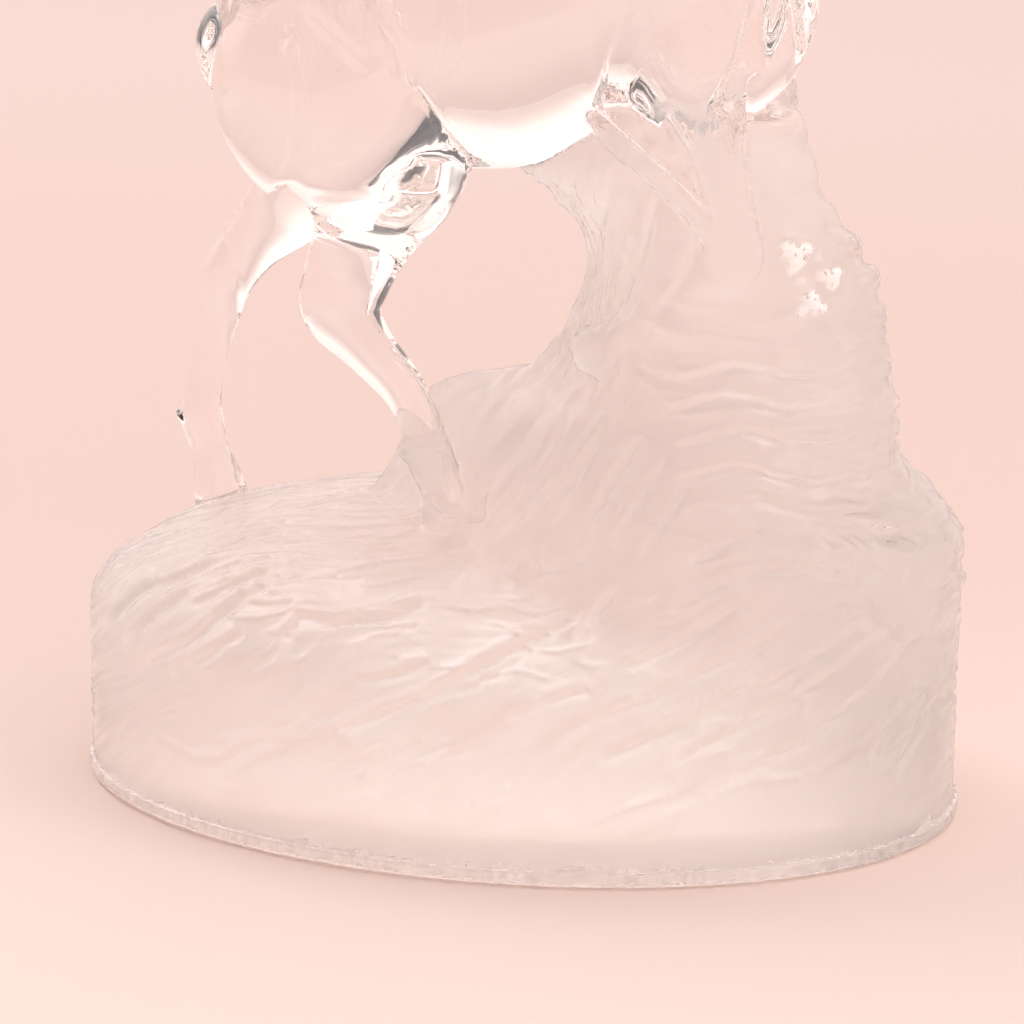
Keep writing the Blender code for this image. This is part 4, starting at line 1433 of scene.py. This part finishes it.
@dataclass
class Figurine:
    """The whole piece of glass: deer, rock and plinth, fused as in one mould."""

    plinth: Plinth
    mound: Mound
    deer: Deer
    relief: Relief
    finish: CrystalFinish
    grain: float = 0.00053
    softening: int = 10
    softness: float = 0.5
    triangles: int = 186000
    frost_line: float = 0.1095
    frost_fade: float = 0.0015
    frost_seam: float = 0.0008
    frost_waves: tuple[Spot, ...] = ((0.0013, 420.0, 560.0), (0.0009, 900.0, 0.0))

    def lofts(self) -> tuple[bpy.types.Mesh, bpy.types.Mesh]:
        """Makes the separate forms.

        Returns:
            The clear forms and the satin ones.
        """
        clear = Lofter()
        self.deer.add_body(clear)
        satin = Lofter()
        self.mound.add(satin)
        self.deer.add_forelegs(satin)
        return clear.mesh("clear_forms"), satin.mesh("satin_forms")

    def fused(self, clear: bpy.types.Mesh, satin: bpy.types.Mesh) -> bpy.types.Object:
        """Fuses the forms into one skin and cuts it level inside the foot.

        Args:
            clear: The clear forms.
            satin: The satin forms.

        Returns:
            The fused object.
        """
        joined = bmesh.new()
        joined.from_mesh(clear)
        joined.from_mesh(satin)
        mesh = bpy.data.meshes.new("crystal_glass")
        joined.to_mesh(mesh)
        joined.free()
        made = put("crystal_glass", mesh)
        fuse = made.modifiers.new("fuse", "REMESH")
        fuse.mode = "VOXEL"
        fuse.voxel_size = self.grain
        soften = made.modifiers.new("soften", "SMOOTH")
        soften.factor = self.softness
        soften.iterations = self.softening
        self.settle(made)
        shape = bmesh.new()
        shape.from_mesh(made.data)
        level = self.plinth.foot_height / 2
        everything = shape.verts[:] + shape.edges[:] + shape.faces[:]
        plane = {"plane_co": (0, 0, level), "plane_no": (0, 0, 1)}
        cut = bmesh.ops.bisect_plane(shape, geom=everything, clear_inner=True, **plane)
        rim = [part for part in cut["geom_cut"] if isinstance(part, bmesh.types.BMEdge)]
        bmesh.ops.contextual_create(shape, geom=rim)
        bmesh.ops.recalc_face_normals(shape, faces=shape.faces)
        shape.to_mesh(made.data)
        shape.free()
        return made

    def settle(self, made: bpy.types.Object) -> None:
        """Turns an object's modifiers into its plain mesh.

        Args:
            made: The object.
        """
        graph = bpy.context.evaluated_depsgraph_get()
        mesh = bpy.data.meshes.new_from_object(made.evaluated_get(graph), depsgraph=graph)
        old = made.data
        made.modifiers.clear()
        made.data = mesh
        bpy.data.meshes.remove(old)

    def frost(self, mesh: bpy.types.Mesh, clear: BVHTree, satin: BVHTree) -> None:
        """Writes how satin each point of the glass is, from the form that it lies on, up to a wavy frost line.

        Args:
            mesh: The figurine's mesh.
            clear: The clear forms.
            satin: The satin forms.
        """
        values = np.zeros(len(mesh.vertices))
        for i, vertex in enumerate(mesh.vertices):
            point = vertex.co
            to_clear = clear.find_nearest(point)[3]
            to_satin = satin.find_nearest(point)[3]
            values[i] = (to_clear - to_satin) / self.frost_seam
        points = places(mesh)
        share = soft_step(values, -0.5, 0.5)
        wave = sum(rise * np.sin(points[:, 0] * a + points[:, 1] * b) for rise, a, b in self.frost_waves)
        share *= 1 - soft_step(points[:, 2] + wave, self.frost_line, self.frost_line + self.frost_fade)
        write_layer(mesh, "frost", share)

    def thin(self, made: bpy.types.Object) -> None:
        """Thins the mesh to the number of triangles that one piece may have.

        Args:
            made: The figurine.
        """
        count = count_triangles(made.data)
        if count > self.triangles:
            made.modifiers.new("thin", "DECIMATE").ratio = self.triangles / count
            self.settle(made)

    def build(self) -> bpy.types.Object:
        """Makes the figurine.

        Returns:
            One closed object that rides on the root body and stands for the CAD solid.
        """
        material = self.finish.material()
        clear, satin = self.lofts()
        trees = []
        for mesh in (clear, satin):
            shape = bmesh.new()
            shape.from_mesh(mesh)
            trees.append(BVHTree.FromBMesh(shape))
            shape.free()
        made = self.fused(clear, satin)
        LOG.info("fused glass: %d faces", len(made.data.polygons))
        self.frost(made.data, *trees)
        self.relief.press(made.data)
        step = made.modifiers.new("relief", "NODES")
        step.node_group = self.relief.tree(material)
        sizes = self.relief.sizes()
        for item in step.node_group.interface.items_tree:
            if item.in_out == "INPUT" and item.name in sizes:
                step[item.identifier] = sizes[item.name]
        self.settle(made)
        self.thin(made)
        foot = put("foot", self.plinth.foot())
        join = made.modifiers.new("foot", "BOOLEAN")
        join.operation = "UNION"
        join.solver = "EXACT"
        join.object = foot
        self.settle(made)
        bpy.data.objects.remove(foot)
        made.data.materials.clear()
        made.data.materials.append(material)
        self.frost(made.data, *trees)
        self.relief.polish(made.data)
        made.data.shade_smooth()
        LOG.info("figurine: %d triangles", count_triangles(made.data))
        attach(made, "root")
        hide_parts("crystal_deer")
        return made


@dataclass
class Studio:
    """A pale table, soft light from all round and the camera.

    A band is where one tone of the room turns into the next, by how much a direction points that way.
    """

    table: TableFinish
    sight: Sight
    half_size: float = 6.0
    level: float = -0.0002
    lens: float = 225.0
    sensor: float = 36.0
    dim: Colour = (0.17, 0.16, 0.165, 1.0)
    bright: Colour = (1.22, 1.08, 1.02, 1.0)
    white: Colour = (1.44, 1.32, 1.27, 1.0)
    sweep: Colour = (1.23, 1.02, 0.95, 1.0)
    horizon: Colour = (0.94, 0.73, 0.67, 1.0)
    horizon_band: Flat = (0.0, 0.16)
    ceiling_band: Flat = (0.30, 0.70)
    white_band: Flat = (0.42, 0.95)
    white_heights: tuple[float, float, float, float] = (0.05, 0.35, 0.80, 0.95)
    dim_band: Flat = (0.68, 0.90)
    bounces: int = 32
    gloss_bounces: int = 12
    softboxes: tuple[tuple[str, Spot, float, float], ...] = (
        ("softbox_left", (-0.55, 0.25, 0.75), 0.45, 1.2),
        ("softbox_right", (0.60, -0.10, 0.70), 0.35, 0.8),
    )
    lit_height: float = 0.08

    def turn_to(self, way: Vector) -> Euler:
        """The rotation of a lamp or camera that looks a given way."""
        return way.to_track_quat("-Z", "Y").to_euler()

    def build_floor(self) -> bpy.types.Object:
        """Makes the table top.

        Returns:
            The table top.
        """
        shape = bmesh.new()
        corners = [(-1, -1), (1, -1), (1, 1), (-1, 1)]
        shape.faces.new([shape.verts.new((self.half_size * x, self.half_size * y, self.level)) for x, y in corners])
        mesh = bpy.data.meshes.new("table_top")
        shape.to_mesh(mesh)
        shape.free()
        mesh.materials.append(self.table.material())
        made = put("table_top", mesh)
        return made

    def build_light(self) -> None:
        """Makes a bright room with a white panel behind the figurine, a dim one in front of it and two softboxes."""
        world = bpy.data.worlds.new("studio")
        tree = empty_tree(world)
        x, y, z = tree.place("Generated")
        low = tree.blend(z.ramp(*self.horizon_band), self.horizon, self.sweep)
        sweep = tree.blend(z.ramp(*self.ceiling_band), low, self.bright)
        right = self.sight.axes()[0]
        side = x * right.x + y * right.y
        front = x * right.y - y * right.x
        back_left = (side * -0.70 - front * 0.70).ramp(*self.white_band) * z.band(*self.white_heights)
        lit = tree.blend(back_left, sweep, self.white)
        panel = (side * -0.72 + front * 0.50 + z * 0.48).ramp(*self.dim_band)
        colour = tree.blend(panel, lit, self.dim)
        back = tree.node("ShaderNodeBackground", {}, {"Color": colour, "Strength": 1.0})
        tree.node("ShaderNodeOutputWorld", {}, {"Surface": back.outputs[0]})
        bpy.context.scene.world = world
        for name, place, size, power in self.softboxes:
            lamp = bpy.data.lights.new(name, "AREA")
            lamp.shape = "SQUARE"
            lamp.size = size
            lamp.energy = power
            made = put(name, lamp)
            made.location = place
            made.rotation_euler = self.turn_to(Vector((0, 0, self.lit_height)) - Vector(place))

    def build_camera(self) -> None:
        """Sets the camera at the photograph's angle."""
        back = self.sight.axes()[2]
        lens = bpy.data.cameras.new("camera")
        lens.lens = self.lens
        lens.sensor_width = self.sensor
        made = put("camera", lens)
        made.location = self.sight.target() + back * self.sight.distance
        made.rotation_euler = self.turn_to(-back)
        bpy.context.scene.camera = made

    def build(self) -> None:
        """Makes the floor, the light and the camera."""
        self.build_camera()
        self.build_floor()
        self.build_light()
        scene = bpy.context.scene
        scene.view_settings.view_transform = "Standard"
        scene.cycles.max_bounces = self.bounces
        scene.cycles.transmission_bounces = self.bounces
        scene.cycles.glossy_bounces = self.gloss_bounces
        scene.cycles.caustics_refractive = True


def main() -> None:
    """Builds the figurine and its studio."""
    logging.basicConfig(level=logging.INFO, format="%(name)s: %(message)s")
    plinth = Plinth()
    deer = Deer(plinth)
    mound = Mound(plinth, Rock(), deer.length)
    sight = Sight()
    figurine = Figurine(plinth, mound, deer, Relief(sight, deer), CrystalFinish(sight))
    made = figurine.build()
    LOG.info("%s rides on root", made.name)
    Studio(TableFinish(), sight).build()
    LOG.info("studio built")


if __name__ == "__main__":
    main()
